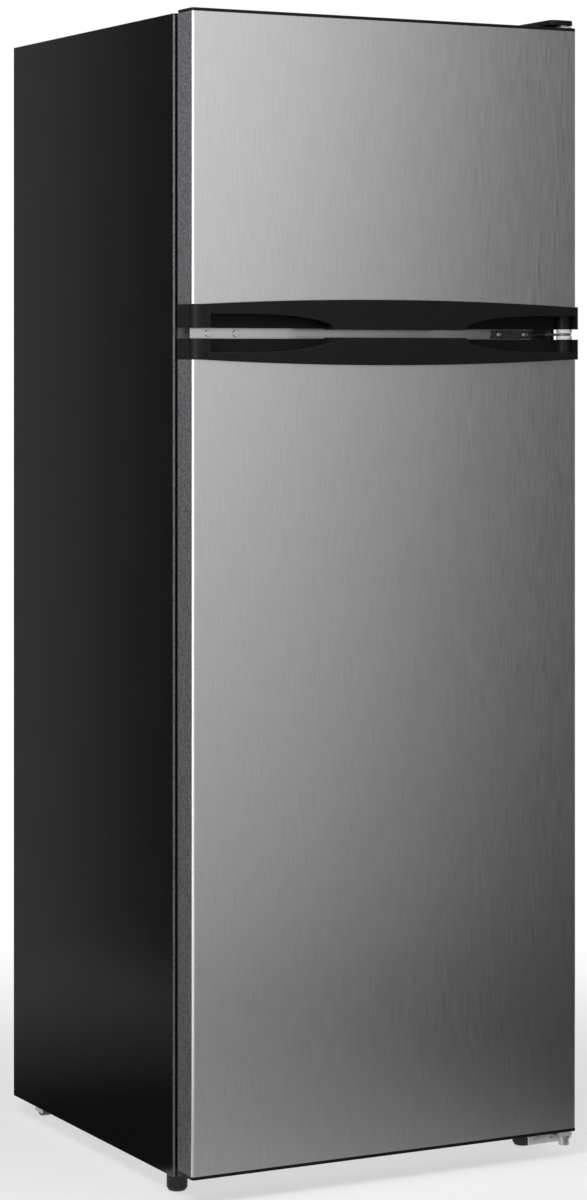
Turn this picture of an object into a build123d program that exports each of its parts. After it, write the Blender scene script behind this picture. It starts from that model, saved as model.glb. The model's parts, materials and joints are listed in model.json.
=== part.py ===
"""Two-door refrigerator with the freezer on top: cabinet, doors, hinges, interior and cooling parts.

Millimetres. +Z is up, the doors face -Y, and both doors hinge on the right (+X).
The origin lies on the floor under the middle of the overall outline.
"""
import os
from math import atan2, cos, degrees, radians, sin

from build123d import *

os.makedirs("parts", exist_ok=True)

# Overall sizes
cabinet_width = 546.0
cabinet_depth = 500.0
cabinet_bottom = 27.0
cabinet_height = 1414.5
door_thickness = 41.0
seal_thickness = 11.0
handle_proud = 5.0
door_bottom = 34.0
door_overtop = 2.5
door_gap = 13.0
freezer_door_height = 385.0

# Sheet, wall and liner thicknesses
sheet = 0.6
liner = 1.5
side_wall = 45.0
top_wall = 48.0
back_wall = 50.0
floor_wall = 45.0
divider = 56.0
flange = 22.0
fold_radius = 2.0
back_inset = 3.0
back_rib_height = 2.4
back_rib_width = 14.0
back_bays = 4
base_sheet = 1.2

# Machine compartment at the lower back
machine_height = 200.0
machine_depth = 150.0

# Hinge line and hardware
hinge_inset_x = 10.0
hinge_inset_y = 13.5
pin_radius = 4.0
running_clearance = 0.05
seat_clearance = 0.3
bush_radius = 7.0
bush_length = 18.0
bush_flange_radius = 10.0
plate = 3.0
screw_radius = 2.4
screw_head_radius = 4.6
screw_head_height = 2.6
screw_length = 7.0
top_screw_near = 2.0
top_screw_far = 14.0
top_screw_setback = 28.0
top_screw_pitch = 15.0
middle_screw_near = 37.0
middle_screw_far = 75.0
bottom_screw_near = 6.0
bottom_screw_far = 36.0
bottom_screw_setback = 14.0
pin_end_gap = 1.0
hole_clearance = 0.2
arm_lift = 2.5
arm_half = 7.0
arm_end_radius = 9.0
pin_head = 1.2
top_plate_left = 22.0
top_plate_setback = 8.0
top_plate_length = 64.0
cover_wall = 1.6
cover_nose = 3 * cover_wall
cover_side_gap = 5.0
cover_rise = 10.0
cover_corner = 9.0
cover_back_corner = 3.0
cover_edge = 2.0
hinge_flange_far = 87.0
hinge_flange_near = 12.0
hinge_flange_half = 5.2
hinge_flange_sheet = 2.5
hinge_arm_left = 27.0
bottom_plate_left = 42.0
bottom_plate_reach = 24.0
bottom_lip_setback = 17.0
bottom_lip_drop = 9.0
plug_face = 1.2

# Doors
fold_door = 4.0
cap_height = 4.0
boss_depth = 24.0
boss_half = 9.5
dike_gap = 9.0
dike_width = 30.0
dike_height = 26.0
dike_round = 4.0
gasket_width = 14.0
gasket_inset = 14.0
gasket_handle_inset = 3.0
gasket_layer = 3.0
gasket_waist = 7.0
seal_clearance = 0.3

# Handles
handle_side_proud = 0.75
handle_corner = 12.0
hinge_end_corner = 3.0
freezer_handle_height = 28.5
fridge_handle_height = 25.5
handle_bow = 7.0
lip_clearance = 0.1
grip_inset = 23.0
grip_length = 168.0
hinge_grip_inset = 4.0
hinge_grip_length = 162.0
pivot_wall = 3.0
grip_sweep = 115.0
grip_hook = 110.0
grip_height = 16.5
grip_depth = 26.0
grip_bar = 9.0
grip_undercut = 3.5
middle_drop = 1.6
handle_round = 0.8

# Door bins
bin_wall = 2.0
bin_depth = 92.0
bin_side_clearance = 1.0
bin_ledge = 8.0
bin_corner = 4.0
low_bin_rise = 40.0
top_bin_drop = 324.5
fridge_bin_height = 92.0
freezer_bin_rise = 46.0
freezer_bin_pitch = 140.0
freezer_bin_height = 70.0
freezer_bin_depth = 62.0

# Fridge and freezer fittings
ledge_width = 10.0
ledge_height = 6.0
ledge_setback = 12.0
runner_inset = 46.0
shelf_front_gap = 10.0
shelf_glass = 4.0
crisper_cover_rise = 13.0
upper_shelf_drop = 259.5
shelf_side_clearance = 2.0
shelf_corner = 3.0
glass_lip = 3.0
trim_height = 14.0
trim_depth = 9.0
drawer_wall = 2.2
drawer_height = 176.0
drawer_side_clearance = 3.0
drawer_corner = 4.0
drawer_bottom_round = 3.0
drawer_pull_half = 60.0
drawer_pull_depth = 24.0
runner_height = 4.0
freezer_shelf_rise = 155.5
wire_radius = 2.0
wire_pitch = 26.0
cross_wire_radius = 1.7
thin_wire_radius = 1.4
wire_shelf_gap = 8.0
cover_standoff = 78.0
cover_sheet = 2.0
grille_pitch = 14.0
grille_slot = 7.0
grille_rows = 7
return_slot_length = 44.0
return_pitch_x = 58.0
return_pitch_z = 16.0
return_columns = 6
return_rows = 2
return_rise = 24.0
coil_side_gap = 48.0
coil_gap = 14.0
coil_back_gap = 10.0
coil_height = 96.0
coil_fins = 25
fin_sheet = 1.0
coil_tube_pitch = 28.0
coil_tube_rows = 3
fan_radius = 46.0
fan_hub_radius = 14.0
fan_blades = 5
fan_drop = 93.5
fan_shaft_radius = 2.5
fan_shaft_length = 22.0
fan_hub_length = 20.0
fan_hub_gap = 4.0
fan_cap = 1.5
blade_width = 24.0
blade_sheet = 1.6
blade_pitch = 32.0
motor_radius = 22.0
motor_standoff = 36.0
motor_back_gap = 12.0
strap_overhang = 14.0
strap_width = 12.0
strap_sheet = 3.0
strap_leg = 8.0

# Controls on the fridge ceiling
control_back_gap = 78.5
control_length = 130.0
control_half = 110.0
control_drop = 42.0
control_corner = 12.0
control_edge = 4.0
knob_x = 55.0
knob_radius = 17.0
knob_depth = 15.0
knob_flutes = 18
flute_radius = 1.0
knob_cap = 1.5
pointer_width = 2.0
pointer_height = 0.6
spindle_radius = 3.0
spindle_length = 13.0
lamp_left = 80.0
lamp_margin = 25.0
lamp_drop = 20.0
lamp_corner = 8.0
lamp_edge = 5.0
switch_inset = 36.0
switch_half = 12.0
switch_length = 30.0
switch_gap = 6.0
switch_drop = 6.0
switch_skirt = 8.0
switch_bore = 24.0
plunger_radius = 3.0
plunger_tail = 20.0

# Feet and rollers
foot_inset = 24.0
foot_setback = 40.0
foot_radius = 13.0
foot_height = 19.0
foot_ribs = 24
foot_rib_radius = 1.2
foot_bottom_round = 3.0
foot_rib_gap = 4.0
stud_radius = 4.0
stud_top = 52.0
stud_low = 6.0
stud_collar = 2.0
stud_collar_height = 1.5
stud_pocket = 6.0
stud_boss_radius = 6.8
stud_boss_height = 12.0
roller_radius = 12.0
roller_width = 14.0
roller_inset = 38.0
roller_back = 20.0
axle_radius = 3.0
axle_overhang = 1.0
roller_round = 1.5
roller_side_gap = 0.6
bracket_sheet = 2.0
bracket_half = 11.0
bracket_low = 5.0

# Compressor
shell_length = 150.0
shell_depth = 112.0
shell_height = 140.0
shell_center_x = 80.0
grommet_radius = 11.0
grommet_height = 14.0
shell_top_round = 26.0
shell_low_round = 20.0
weld_level = 77.0
weld_rim = 3.0
weld_height = 4.0
foot_plate_x = 80.0
foot_plate_y = 42.0
foot_plate_edge = 13.0
terminal_half = 18.0
terminal_low = 50.0
terminal_high = 74.0
terminal_reach = 6.0
relay_width = 34.0
relay_half = 26.0
relay_low = 34.0
relay_high = 92.0
relay_round = 4.0
gland_level = 48.0
gland_radius = 8.0
gland_bore = 4.0
gland_length = 14.0
tray_half_x = 86.0
tray_half_y = 54.0
tray_height = 30.0
tray_wall = 1.6
tray_corner = 3.0
tube_radius = 3.2
tube_stub = 1.5
stub_reach = 8.0
tube_bend = 14.0
suction_rise = 84.0
discharge_rise = 46.0
discharge_offset = 22.0
riser_reach = 34.0

# Condenser tubes inside the side walls
condenser_runs = 6
condenser_pitch = 62.0
condenser_rise = 58.0
condenser_drop = 151.5
condenser_margin = 12.0
condenser_bend = 27.9

# Places worked out from the sizes above
half_width = cabinet_width / 2
overall_depth = cabinet_depth + seal_thickness + door_thickness + handle_proud
back = overall_depth / 2
front = back - cabinet_depth
door_back = front - seal_thickness
door_front = door_back - door_thickness
handle_front = door_front - handle_proud
top = cabinet_bottom + cabinet_height
door_top = top + door_overtop
freezer_door_bottom = door_top - freezer_door_height
fridge_door_top = freezer_door_bottom - door_gap
gap_middle = (freezer_door_bottom + fridge_door_top) / 2
divider_low = gap_middle - divider / 2
divider_high = gap_middle + divider / 2
inner_half = half_width - side_wall
inner_back = back - back_wall
inner_floor = cabinet_bottom + floor_wall
inner_top = top - top_wall
machine_top = cabinet_bottom + machine_height
machine_front = back - machine_depth
step_top = machine_top + floor_wall
step_front = machine_front - floor_wall
hinge_x = half_width - hinge_inset_x
hinge_y = door_front + hinge_inset_y
foam_back = back - back_inset - sheet
foot_x = half_width - foot_inset
foot_y = front + foot_setback
roller_x = half_width - roller_inset
roller_y = back - roller_back
base_top = cabinet_bottom + base_sheet
shelf_front = door_back + bin_depth + shelf_front_gap
cover_y = inner_back - cover_standoff
panel_face = half_width - sheet
screw_hole = screw_radius + hole_clearance
condenser_half = condenser_pitch * (condenser_runs - 1) / 2
condenser_low = step_top + condenser_rise
condenser_high = top - condenser_drop
low_bin = inner_floor + low_bin_rise
top_bin = divider_low - top_bin_drop
fridge_bin_levels = (low_bin, (low_bin + top_bin) / 2, top_bin)
low_freezer_bin = divider_high + freezer_bin_rise
freezer_bin_levels = (low_freezer_bin, low_freezer_bin + freezer_bin_pitch)
crisper_level = step_top + crisper_cover_rise
upper_level = divider_low - upper_shelf_drop
shelf_levels = (crisper_level, (crisper_level + upper_level) / 2, upper_level)
freezer_shelf_level = divider_high + freezer_shelf_rise
fan_level = inner_top - fan_drop
runner_place = inner_half - runner_inset
coil_half = inner_half - coil_side_gap
control_back = inner_back - control_back_gap
control_front = control_back - control_length
switch_x = inner_half - switch_inset


def block(x0, x1, y0, y1, z0, z1, mode=Mode.ADD):
    """A box between two corners."""
    with Locations(((x0 + x1) / 2, (y0 + y1) / 2, (z0 + z1) / 2)):
        Box(x1 - x0, y1 - y0, z1 - z0, mode=mode)


def upright(x, y, z0, z1, radius, mode=Mode.ADD):
    """A cylinder standing along Z from z0 to z1."""
    with Locations((x, y, (z0 + z1) / 2)):
        Cylinder(radius, z1 - z0, mode=mode)


def lengthwise(x, z, y0, y1, radius, mode=Mode.ADD):
    """A cylinder lying along Y from y0 to y1."""
    with Locations(Location((x, (y0 + y1) / 2, z), (90, 0, 0))):
        Cylinder(radius, y1 - y0, mode=mode)


def crosswise(y, z, x0, x1, radius, mode=Mode.ADD):
    """A cylinder lying along X from x0 to x1."""
    with Locations(Location(((x0 + x1) / 2, y, z), (0, 90, 0))):
        Cylinder(radius, x1 - x0, mode=mode)


def save(piece, node):
    """Label a finished piece and write it as the node of that name."""
    piece.label = node
    export_step(piece, f"parts/{node}.step")


# Screw places: above the top hinge, on the divider and under the base
first_screw = front + top_screw_setback
top_screws = [
    (hinge_x - top_screw_far, first_screw),
    (hinge_x - top_screw_near, first_screw + top_screw_pitch),
    (hinge_x - top_screw_far, first_screw + 2 * top_screw_pitch),
]
middle_screws = [(hinge_x - inset, gap_middle) for inset in (middle_screw_far, middle_screw_near)]
bottom_screws = [
    (hinge_x - inset, front + bottom_screw_setback)
    for inset in (bottom_screw_far, bottom_screw_near)
]


# Cabinet sheet metal
def side_panel(side, node):
    """A steel side with its front and back edges folded inwards."""
    with BuildPart() as panel:
        with BuildSketch(Plane.XY.offset(cabinet_bottom)):
            middle = side * (half_width - flange / 2)
            with Locations((middle, (front + back) / 2)):
                outer = Rectangle(flange, cabinet_depth)
            fold_corners = outer.vertices().group_by(Axis.X)[-1 if side > 0 else 0]
            fillet(fold_corners, fold_radius)
            with Locations((middle - side * sheet, (front + back) / 2)):
                Rectangle(flange, cabinet_depth - 2 * sheet, mode=Mode.SUBTRACT)
        extrude(amount=cabinet_height - sheet)
    save(panel.part, node)


side_panel(-1, "left_side_panel")
side_panel(1, "right_side_panel")

with BuildPart() as top_panel:
    block(-half_width, half_width, front, back, top - sheet, top)
    fillet(top_panel.edges().filter_by(Axis.Z), fold_radius)
    inner_edge = half_width - flange - seat_clearance
    block(-inner_edge, inner_edge, front, front + sheet, top - flange, top - sheet)
    block(-inner_edge, inner_edge, back - sheet, back, top - flange, top - sheet)
    for x, y in top_screws:
        upright(x, y, top - sheet, top, screw_hole, Mode.SUBTRACT)
save(top_panel.part, "top_panel")

with BuildPart() as back_panel:
    sheet_half = half_width - sheet
    block(-sheet_half, sheet_half, foam_back, foam_back + sheet, machine_top, top - sheet)
    rib_spread = 2 * (half_width - flange) / back_bays
    rib_top = top - flange - back_rib_width
    for column in range(1, back_bays):
        middle = column * rib_spread - half_width + flange
        rib_back = foam_back + back_rib_height
        block(middle - back_rib_width / 2, middle + back_rib_width / 2, foam_back, rib_back,
              machine_top + back_rib_width, rib_top)
    fillet(back_panel.edges().filter_by(Axis.Z).group_by(Axis.Y)[-1], back_rib_height / 3)

with BuildPart() as base_plate:
    base_half = half_width - sheet
    block(-base_half, base_half, front + sheet, back - sheet, cabinet_bottom, base_top)
    block(-inner_edge, inner_edge, front, front + sheet, cabinet_bottom, cabinet_bottom + flange)
    for side in (-1, 1):
        upright(side * foot_x, foot_y, base_top, base_top + stud_boss_height, stud_boss_radius)
        upright(side * foot_x, foot_y, cabinet_bottom, base_top + stud_boss_height,
                stud_radius + running_clearance, Mode.SUBTRACT)
    for x, y in bottom_screws:
        upright(x, y, cabinet_bottom, base_top, screw_hole, Mode.SUBTRACT)
save(base_plate.part, "base_plate")

# Insulation: slabs of foam that fill the walls, meeting face to face
foam_half = inner_half + liner
foam_front = front + liner
foam_inner_back = inner_back + liner
foam_slabs = []
for side in (-1, 1):
    with BuildPart() as wall_slab:
        with BuildSketch(Plane.YZ.offset(side * foam_half)):
            with BuildLine():
                Polyline((foam_front, base_top), (machine_front, base_top),
                         (machine_front, machine_top), (foam_back, machine_top),
                         (foam_back, top - sheet), (foam_front, top - sheet), close=True)
            make_face()
        extrude(amount=side * (panel_face - foam_half))
        pocket = side * (panel_face - 2 * tube_radius - running_clearance)
        pocket_half = condenser_half + condenser_margin
        block(min(pocket, side * panel_face), max(pocket, side * panel_face), -pocket_half,
              pocket_half, condenser_low - condenser_margin, condenser_high + condenser_margin,
              Mode.SUBTRACT)
        upright(side * foot_x, foot_y, base_top, stud_top + stud_pocket, foot_radius, Mode.SUBTRACT)
        for x, y in top_screws:
            upright(x, y, top - screw_length, top, screw_hole, Mode.SUBTRACT)
        for x, z in middle_screws:
            lengthwise(x, z, front, front + screw_length, screw_hole, Mode.SUBTRACT)
        for x, y in bottom_screws:
            upright(x, y, base_top, base_top + screw_length, screw_hole, Mode.SUBTRACT)
    foam_slabs.append(wall_slab.part)

with BuildPart() as top_slab:
    block(-foam_half, foam_half, foam_front, foam_inner_back, inner_top + liner, top - sheet)
foam_slabs.append(top_slab.part)

with BuildPart() as back_slab:
    block(-foam_half, foam_half, foam_inner_back, foam_back, machine_top, top - sheet)
foam_slabs.append(back_slab.part)

with BuildPart() as divider_slab:
    block(-foam_half, foam_half, foam_front, foam_inner_back, divider_low + liner,
          divider_high - liner)
    for x, z in middle_screws:
        lengthwise(x, z, front, front + screw_length, screw_hole, Mode.SUBTRACT)
foam_slabs.append(divider_slab.part)

with BuildPart() as floor_slab:
    with BuildSketch(Plane.YZ.offset(-foam_half)):
        with BuildLine():
            Polyline((foam_front, base_top), (machine_front, base_top),
                     (machine_front, machine_top), (foam_inner_back, machine_top),
                     (foam_inner_back, step_top - liner), (step_front + liner, step_top - liner),
                     (step_front + liner, inner_floor - liner), (foam_front, inner_floor - liner),
                     close=True)
        make_face()
    extrude(amount=2 * foam_half)
    for side in (-1, 1):
        upright(side * foot_x, foot_y, base_top, stud_top + stud_pocket, foot_radius, Mode.SUBTRACT)
    for x, y in bottom_screws:
        upright(x, y, base_top, base_top + screw_length, screw_hole, Mode.SUBTRACT)
foam_slabs.append(floor_slab.part)
save(Compound(children=foam_slabs), "wall_foam")

# Inner liners: thin white boxes open to the front, with a flange round the mouth
liner_flange = half_width - flange
strip_low = gap_middle - divider / 3
strip_high = gap_middle + divider / 3


def shelf_ledges(level, front_edge, back_edge):
    """A pair of moulded ledges on the side walls, just below one shelf."""
    for side in (-1, 1):
        wall = side * inner_half
        inward = side * (inner_half - ledge_width)
        block(min(wall, inward), max(wall, inward), front_edge, back_edge,
              level - ledge_height, level)


with BuildPart() as fridge_liner:
    with BuildSketch(Plane.YZ.offset(-foam_half)):
        with BuildLine():
            Polyline((front, divider_low + liner), (foam_inner_back, divider_low + liner),
                     (foam_inner_back, step_top - liner), (step_front + liner, step_top - liner),
                     (step_front + liner, inner_floor - liner), (front, inner_floor - liner),
                     close=True)
        make_face()
    extrude(amount=2 * foam_half)
    with BuildSketch(Plane.XZ.offset(-front)):
        with Locations((0, (strip_low + cabinet_bottom + flange) / 2)):
            Rectangle(2 * liner_flange, strip_low - cabinet_bottom - flange)
    extrude(amount=-liner)
    with BuildSketch(Plane.YZ.offset(-inner_half)):
        with BuildLine():
            Polyline((front, divider_low), (inner_back, divider_low), (inner_back, step_top),
                     (step_front, step_top), (step_front, inner_floor), (front, inner_floor),
                     close=True)
        make_face()
    extrude(amount=2 * inner_half, mode=Mode.SUBTRACT)
    for level in shelf_levels:
        shelf_ledges(level, shelf_front + ledge_setback, inner_back)
    for side in (-1, 1):
        rail = side * runner_place
        block(rail - ledge_width / 2, rail + ledge_width / 2, shelf_front, step_front,
              inner_floor, inner_floor + runner_height)
save(fridge_liner.part, "fridge_liner")

with BuildPart() as freezer_liner:
    block(-foam_half, foam_half, front, foam_inner_back, divider_high - liner, inner_top + liner)
    block(-liner_flange, liner_flange, front, foam_front, strip_high, top - flange)
    block(-inner_half, inner_half, front, inner_back, divider_high, inner_top, Mode.SUBTRACT)
    shelf_ledges(freezer_shelf_level, shelf_front, cover_y - seat_clearance)
save(freezer_liner.part, "freezer_liner")

# Metal strip on the front of the divider, seen between the doors
with BuildPart() as divider_strip:
    block(-liner_flange, liner_flange, front, foam_front, strip_low, strip_high)
    for x, z in middle_screws:
        for mirrored in (-x, x):
            lengthwise(mirrored, z, front, foam_front, screw_hole, Mode.SUBTRACT)
save(divider_strip.part, "divider_strip")

# Plugs in the hinge holes that the left-hand hanging of the doors would use
with BuildPart() as hinge_hole_plugs:
    for x, z in middle_screws:
        lengthwise(-x, z, front - plug_face, front, screw_head_radius)
        lengthwise(-x, z, front, foam_front, screw_radius)
save(hinge_hole_plugs.part, "hinge_hole_plugs")

# Door pieces
dike_half = inner_half - dike_gap
dike_inner_half = dike_half - dike_width
handle_half = half_width + handle_side_proud


def door_outline(inset, y_far):
    """Plan outline of a door with rounded front corners, inset by a sheet thickness."""
    depth = y_far - door_front - inset
    with Locations((0, y_far - depth / 2)):
        outline = Rectangle(2 * (half_width - inset), depth)
    fillet(outline.vertices().group_by(Axis.Y)[0], fold_door - inset)


def ring(plane, half_x, low, high, width, amount):
    """A rectangular frame drawn on a plane across the door's back and given a thickness."""
    with BuildSketch(plane) as frame_face:
        with Locations((0, (low + high) / 2)):
            Rectangle(2 * half_x, high - low)
            Rectangle(2 * (half_x - width), high - low - 2 * width, mode=Mode.SUBTRACT)
    extrude(frame_face.sketch, amount=amount)


def door_handle(node, edge, rise, height):
    """Black end cap with two finger grips, the right one running round the hinge bush.

    Each grip falls to the gap along a quarter ellipse. rise is +1 above the gap and -1 below it."""
    handle_back = door_back - liner
    crown = edge + rise * height
    reach = handle_half - handle_corner
    front_plane = Plane.XZ.offset(-handle_front)
    with BuildPart() as grip:
        with BuildSketch(Plane.XY.offset(edge)) as plan:
            with Locations((0, (handle_front + handle_back) / 2)):
                Rectangle(2 * handle_half, handle_back - handle_front)
            fillet(plan.vertices().group_by(Axis.Y)[0].sort_by(Axis.X)[-1], hinge_end_corner)
            fillet(plan.vertices().group_by(Axis.Y)[0].sort_by(Axis.X)[0], handle_corner)
        extrude(amount=rise * height)
        with BuildSketch(front_plane):
            with BuildLine():
                ThreePointArc((-reach, crown), (0, crown + rise * handle_bow), (reach, crown))
                Line((reach, crown), (-reach, crown))
            make_face()
        extrude(amount=lip_clearance - handle_proud)
        left_outer = grip_inset - handle_half
        left_inner = left_outer + grip_length
        right_outer = handle_half - hinge_grip_inset
        right_inner = right_outer - hinge_grip_length
        with BuildSketch(front_plane):
            with BuildLine():
                Polyline((left_inner, edge), (right_inner, edge),
                         (right_inner - middle_drop, edge - rise * middle_drop),
                         (left_inner + middle_drop, edge - rise * middle_drop), close=True)
            make_face()
        extrude(amount=-grip_depth)
        roof = edge + rise * grip_height
        hook_low = min(edge, roof + rise * grip_undercut)
        hook_high = max(edge, roof + rise * grip_undercut)
        for side, outer_end, inner_end in ((-1, left_outer, left_inner), (1, right_outer, right_inner)):
            flat_end = inner_end + side * grip_sweep
            hook_end = outer_end - side * grip_hook
            quarter = degrees(atan2(rise, -side)) - 45
            with BuildSketch(front_plane):
                with BuildLine():
                    Polyline((inner_end, edge), (outer_end, edge), (outer_end, roof),
                             (flat_end, roof))
                    EllipticalCenterArc((flat_end, edge), grip_sweep, grip_height, quarter)
                make_face()
            extrude(amount=-grip_depth, mode=Mode.SUBTRACT)
            block(min(outer_end, hook_end), max(outer_end, hook_end), handle_front + grip_bar,
                  handle_front + grip_depth, hook_low, hook_high, Mode.SUBTRACT)
        pivot_radius = bush_radius + pivot_wall
        upright(hinge_x, hinge_y, hook_low, hook_high, pivot_radius)
        block(hinge_x - pivot_radius, right_outer, hinge_y, handle_front + grip_depth, hook_low,
              hook_high)
        front_face = grip.faces().sort_by(Axis.Y)[0]
        fillet(front_face.edges().filter_by(GeomType.LINE, reverse=True), handle_round)
        bush_end = edge + rise * (bush_length + seat_clearance)
        upright(hinge_x, hinge_y, min(edge, bush_end), max(edge, bush_end),
                bush_radius + running_clearance, Mode.SUBTRACT)
    save(grip.part, node)


def door_bins(node, levels, height, depth):
    """Open-topped trays that stand on the door liner's ledges."""
    with BuildPart() as bins:
        bin_half = dike_inner_half - bin_side_clearance
        near = door_back + seat_clearance
        far = door_back + depth
        for level in levels:
            block(-bin_half, bin_half, near, far, level, level + height)
        fillet(bins.edges().filter_by(Axis.Z).group_by(Axis.Y)[-1], bin_corner)
        fillet(bins.faces().sort_by(Axis.Y)[-1].edges().filter_by(Axis.X), bin_wall / 2)
        for level in levels:
            block(bin_wall - bin_half, bin_half - bin_wall, near + bin_wall, far - bin_wall,
                  level + bin_wall, level + height, Mode.SUBTRACT)
    save(bins.part, node)


def door(prefix, low, high, handle_low, dike_low, dike_high, bin_levels):
    """Skin, foam, liner, gasket and end cap of one door; the handle closes the other end."""
    handle_height = freezer_handle_height if handle_low else fridge_handle_height
    body_low = low + (handle_height if handle_low else cap_height)
    body_high = high - (cap_height if handle_low else handle_height)
    cap_side = 1 if handle_low else -1
    cap_inner = body_high if handle_low else body_low
    cap_outer = high if handle_low else low
    boss_end = cap_inner - cap_side * boss_depth
    boss_right = half_width - sheet - seat_clearance
    plate_face = door_back - liner

    with BuildPart() as skin:
        with BuildSketch(Plane.XY.offset(body_low)):
            door_outline(0, plate_face)
            with BuildSketch(mode=Mode.SUBTRACT):
                door_outline(sheet, plate_face)
        extrude(amount=body_high - body_low)
        for side in (-1, 1):
            outer = side * half_width
            inner = side * (half_width - fold_door + seat_clearance)
            block(min(inner, outer), max(inner, outer), plate_face, plate_face + sheet, body_low,
                  body_high)
    save(skin.part, f"{prefix}_door_skin")

    with BuildPart() as foam:
        with BuildSketch(Plane.XY.offset(body_low)):
            door_outline(sheet, plate_face)
        extrude(amount=body_high - body_low)
        ring(Plane.XZ.offset(-plate_face), dike_half - liner, dike_low + liner,
             dike_high - liner, dike_width - 2 * liner, -dike_height)
        block(hinge_x - boss_half, boss_right, hinge_y - boss_half, hinge_y + boss_half,
              min(cap_inner, boss_end), max(cap_inner, boss_end), Mode.SUBTRACT)
    save(foam.part, f"{prefix}_door_foam")

    with BuildPart() as tray:
        edge = fold_door
        block(edge - half_width, half_width - edge, plate_face, door_back, low + liner, high - liner)
        ring(Plane.XZ.offset(-door_back), dike_half, dike_low, dike_high, dike_width, -dike_height)
        fillet(tray.edges().group_by(Axis.Y)[-1], dike_round)
        for level in bin_levels:
            for side in (-1, 1):
                wall = side * dike_inner_half
                inward = side * (dike_inner_half - bin_ledge)
                block(min(wall, inward), max(wall, inward), door_back,
                      door_back + dike_height - dike_round, level - ledge_height, level)
        add(foam.part, mode=Mode.SUBTRACT)
    save(tray.part, f"{prefix}_door_liner")

    with BuildPart() as gasket:
        seal_low = low + (gasket_handle_inset if handle_low else gasket_inset)
        seal_high = high - (gasket_inset if handle_low else gasket_handle_inset)
        seal_half = half_width - gasket_inset
        waist = (gasket_width - gasket_waist) / 2
        lip_plane = Plane.XZ.offset(-front + seal_clearance)
        ring(Plane.XZ.offset(-door_back), seal_half, seal_low, seal_high, gasket_width,
             -gasket_layer)
        ring(Plane.XZ.offset(-door_back), seal_half - waist, seal_low + waist, seal_high - waist,
             gasket_waist, seal_clearance - seal_thickness)
        ring(lip_plane, seal_half, seal_low, seal_high, gasket_width, gasket_layer)
    save(gasket.part, f"{prefix}_door_gasket")

    with BuildPart() as cap:
        with BuildSketch(Plane.XY.offset(min(cap_inner, cap_outer))):
            door_outline(0, plate_face)
        extrude(amount=cap_height)
        block(hinge_x - boss_half, boss_right, hinge_y - boss_half, hinge_y + boss_half,
              min(cap_inner, boss_end), max(cap_inner, boss_end))
        upright(hinge_x, hinge_y, min(cap_outer, boss_end), max(cap_outer, boss_end),
                bush_radius + running_clearance, Mode.SUBTRACT)
    save(cap.part, f"{prefix}_door_end_cap")


def door_bushes(node, faces):
    """Flanged nylon bushes; each face gives the door's end, the way in and the flange's far side."""
    with BuildPart() as bushes:
        for end, inward, flange_end in faces:
            deep = end + inward * bush_length
            upright(hinge_x, hinge_y, min(end, deep), max(end, deep), bush_radius)
            upright(hinge_x, hinge_y, min(end, flange_end), max(end, flange_end),
                    bush_flange_radius)
            upright(hinge_x, hinge_y, min(deep, flange_end), max(deep, flange_end),
                    pin_radius + running_clearance, Mode.SUBTRACT)
    save(bushes.part, node)


middle_low = gap_middle - plate / 2
middle_high = gap_middle + plate / 2
arm_low = door_top + arm_lift
arm_high = arm_low + plate

door("freezer", freezer_door_bottom, door_top, True, divider_high + dike_gap,
     inner_top - dike_gap, freezer_bin_levels)
door("fridge", door_bottom, fridge_door_top, False, inner_floor + dike_gap,
     divider_low - dike_gap, fridge_bin_levels)
door_handle("freezer_door_handle", freezer_door_bottom, 1, freezer_handle_height)
door_handle("fridge_door_handle", fridge_door_top, -1, fridge_handle_height)
door_bins("freezer_door_bins", freezer_bin_levels, freezer_bin_height, freezer_bin_depth)
door_bins("fridge_door_bins", fridge_bin_levels, fridge_bin_height, bin_depth)
door_bushes("freezer_door_bushes", [
    (door_top, -1, arm_low - seat_clearance),
    (freezer_door_bottom, 1, middle_high + seat_clearance),
])
door_bushes("fridge_door_bushes", [
    (fridge_door_top, -1, middle_low - seat_clearance),
    (door_bottom, 1, cabinet_bottom + seat_clearance),
])

# Hinge hardware
pin_engagement = bush_length - pin_end_gap
pin_hole = pin_radius + running_clearance

with BuildPart() as top_hinge_bracket:
    riser = front + top_plate_setback
    block(hinge_x - top_plate_left, hinge_x + arm_half, riser, riser + top_plate_length, top,
          top + plate)
    block(hinge_x - arm_half, hinge_x + arm_half, riser, riser + plate, top, arm_high)
    block(hinge_x - arm_half, hinge_x + arm_half, hinge_y, riser + plate, arm_low, arm_high)
    upright(hinge_x, hinge_y, arm_low, arm_high, arm_half)
    upright(hinge_x, hinge_y, arm_low, arm_high, pin_hole, Mode.SUBTRACT)
    for x, y in top_screws:
        upright(x, y, top, top + plate, screw_hole, Mode.SUBTRACT)
save(top_hinge_bracket.part, "top_hinge_bracket")

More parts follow.
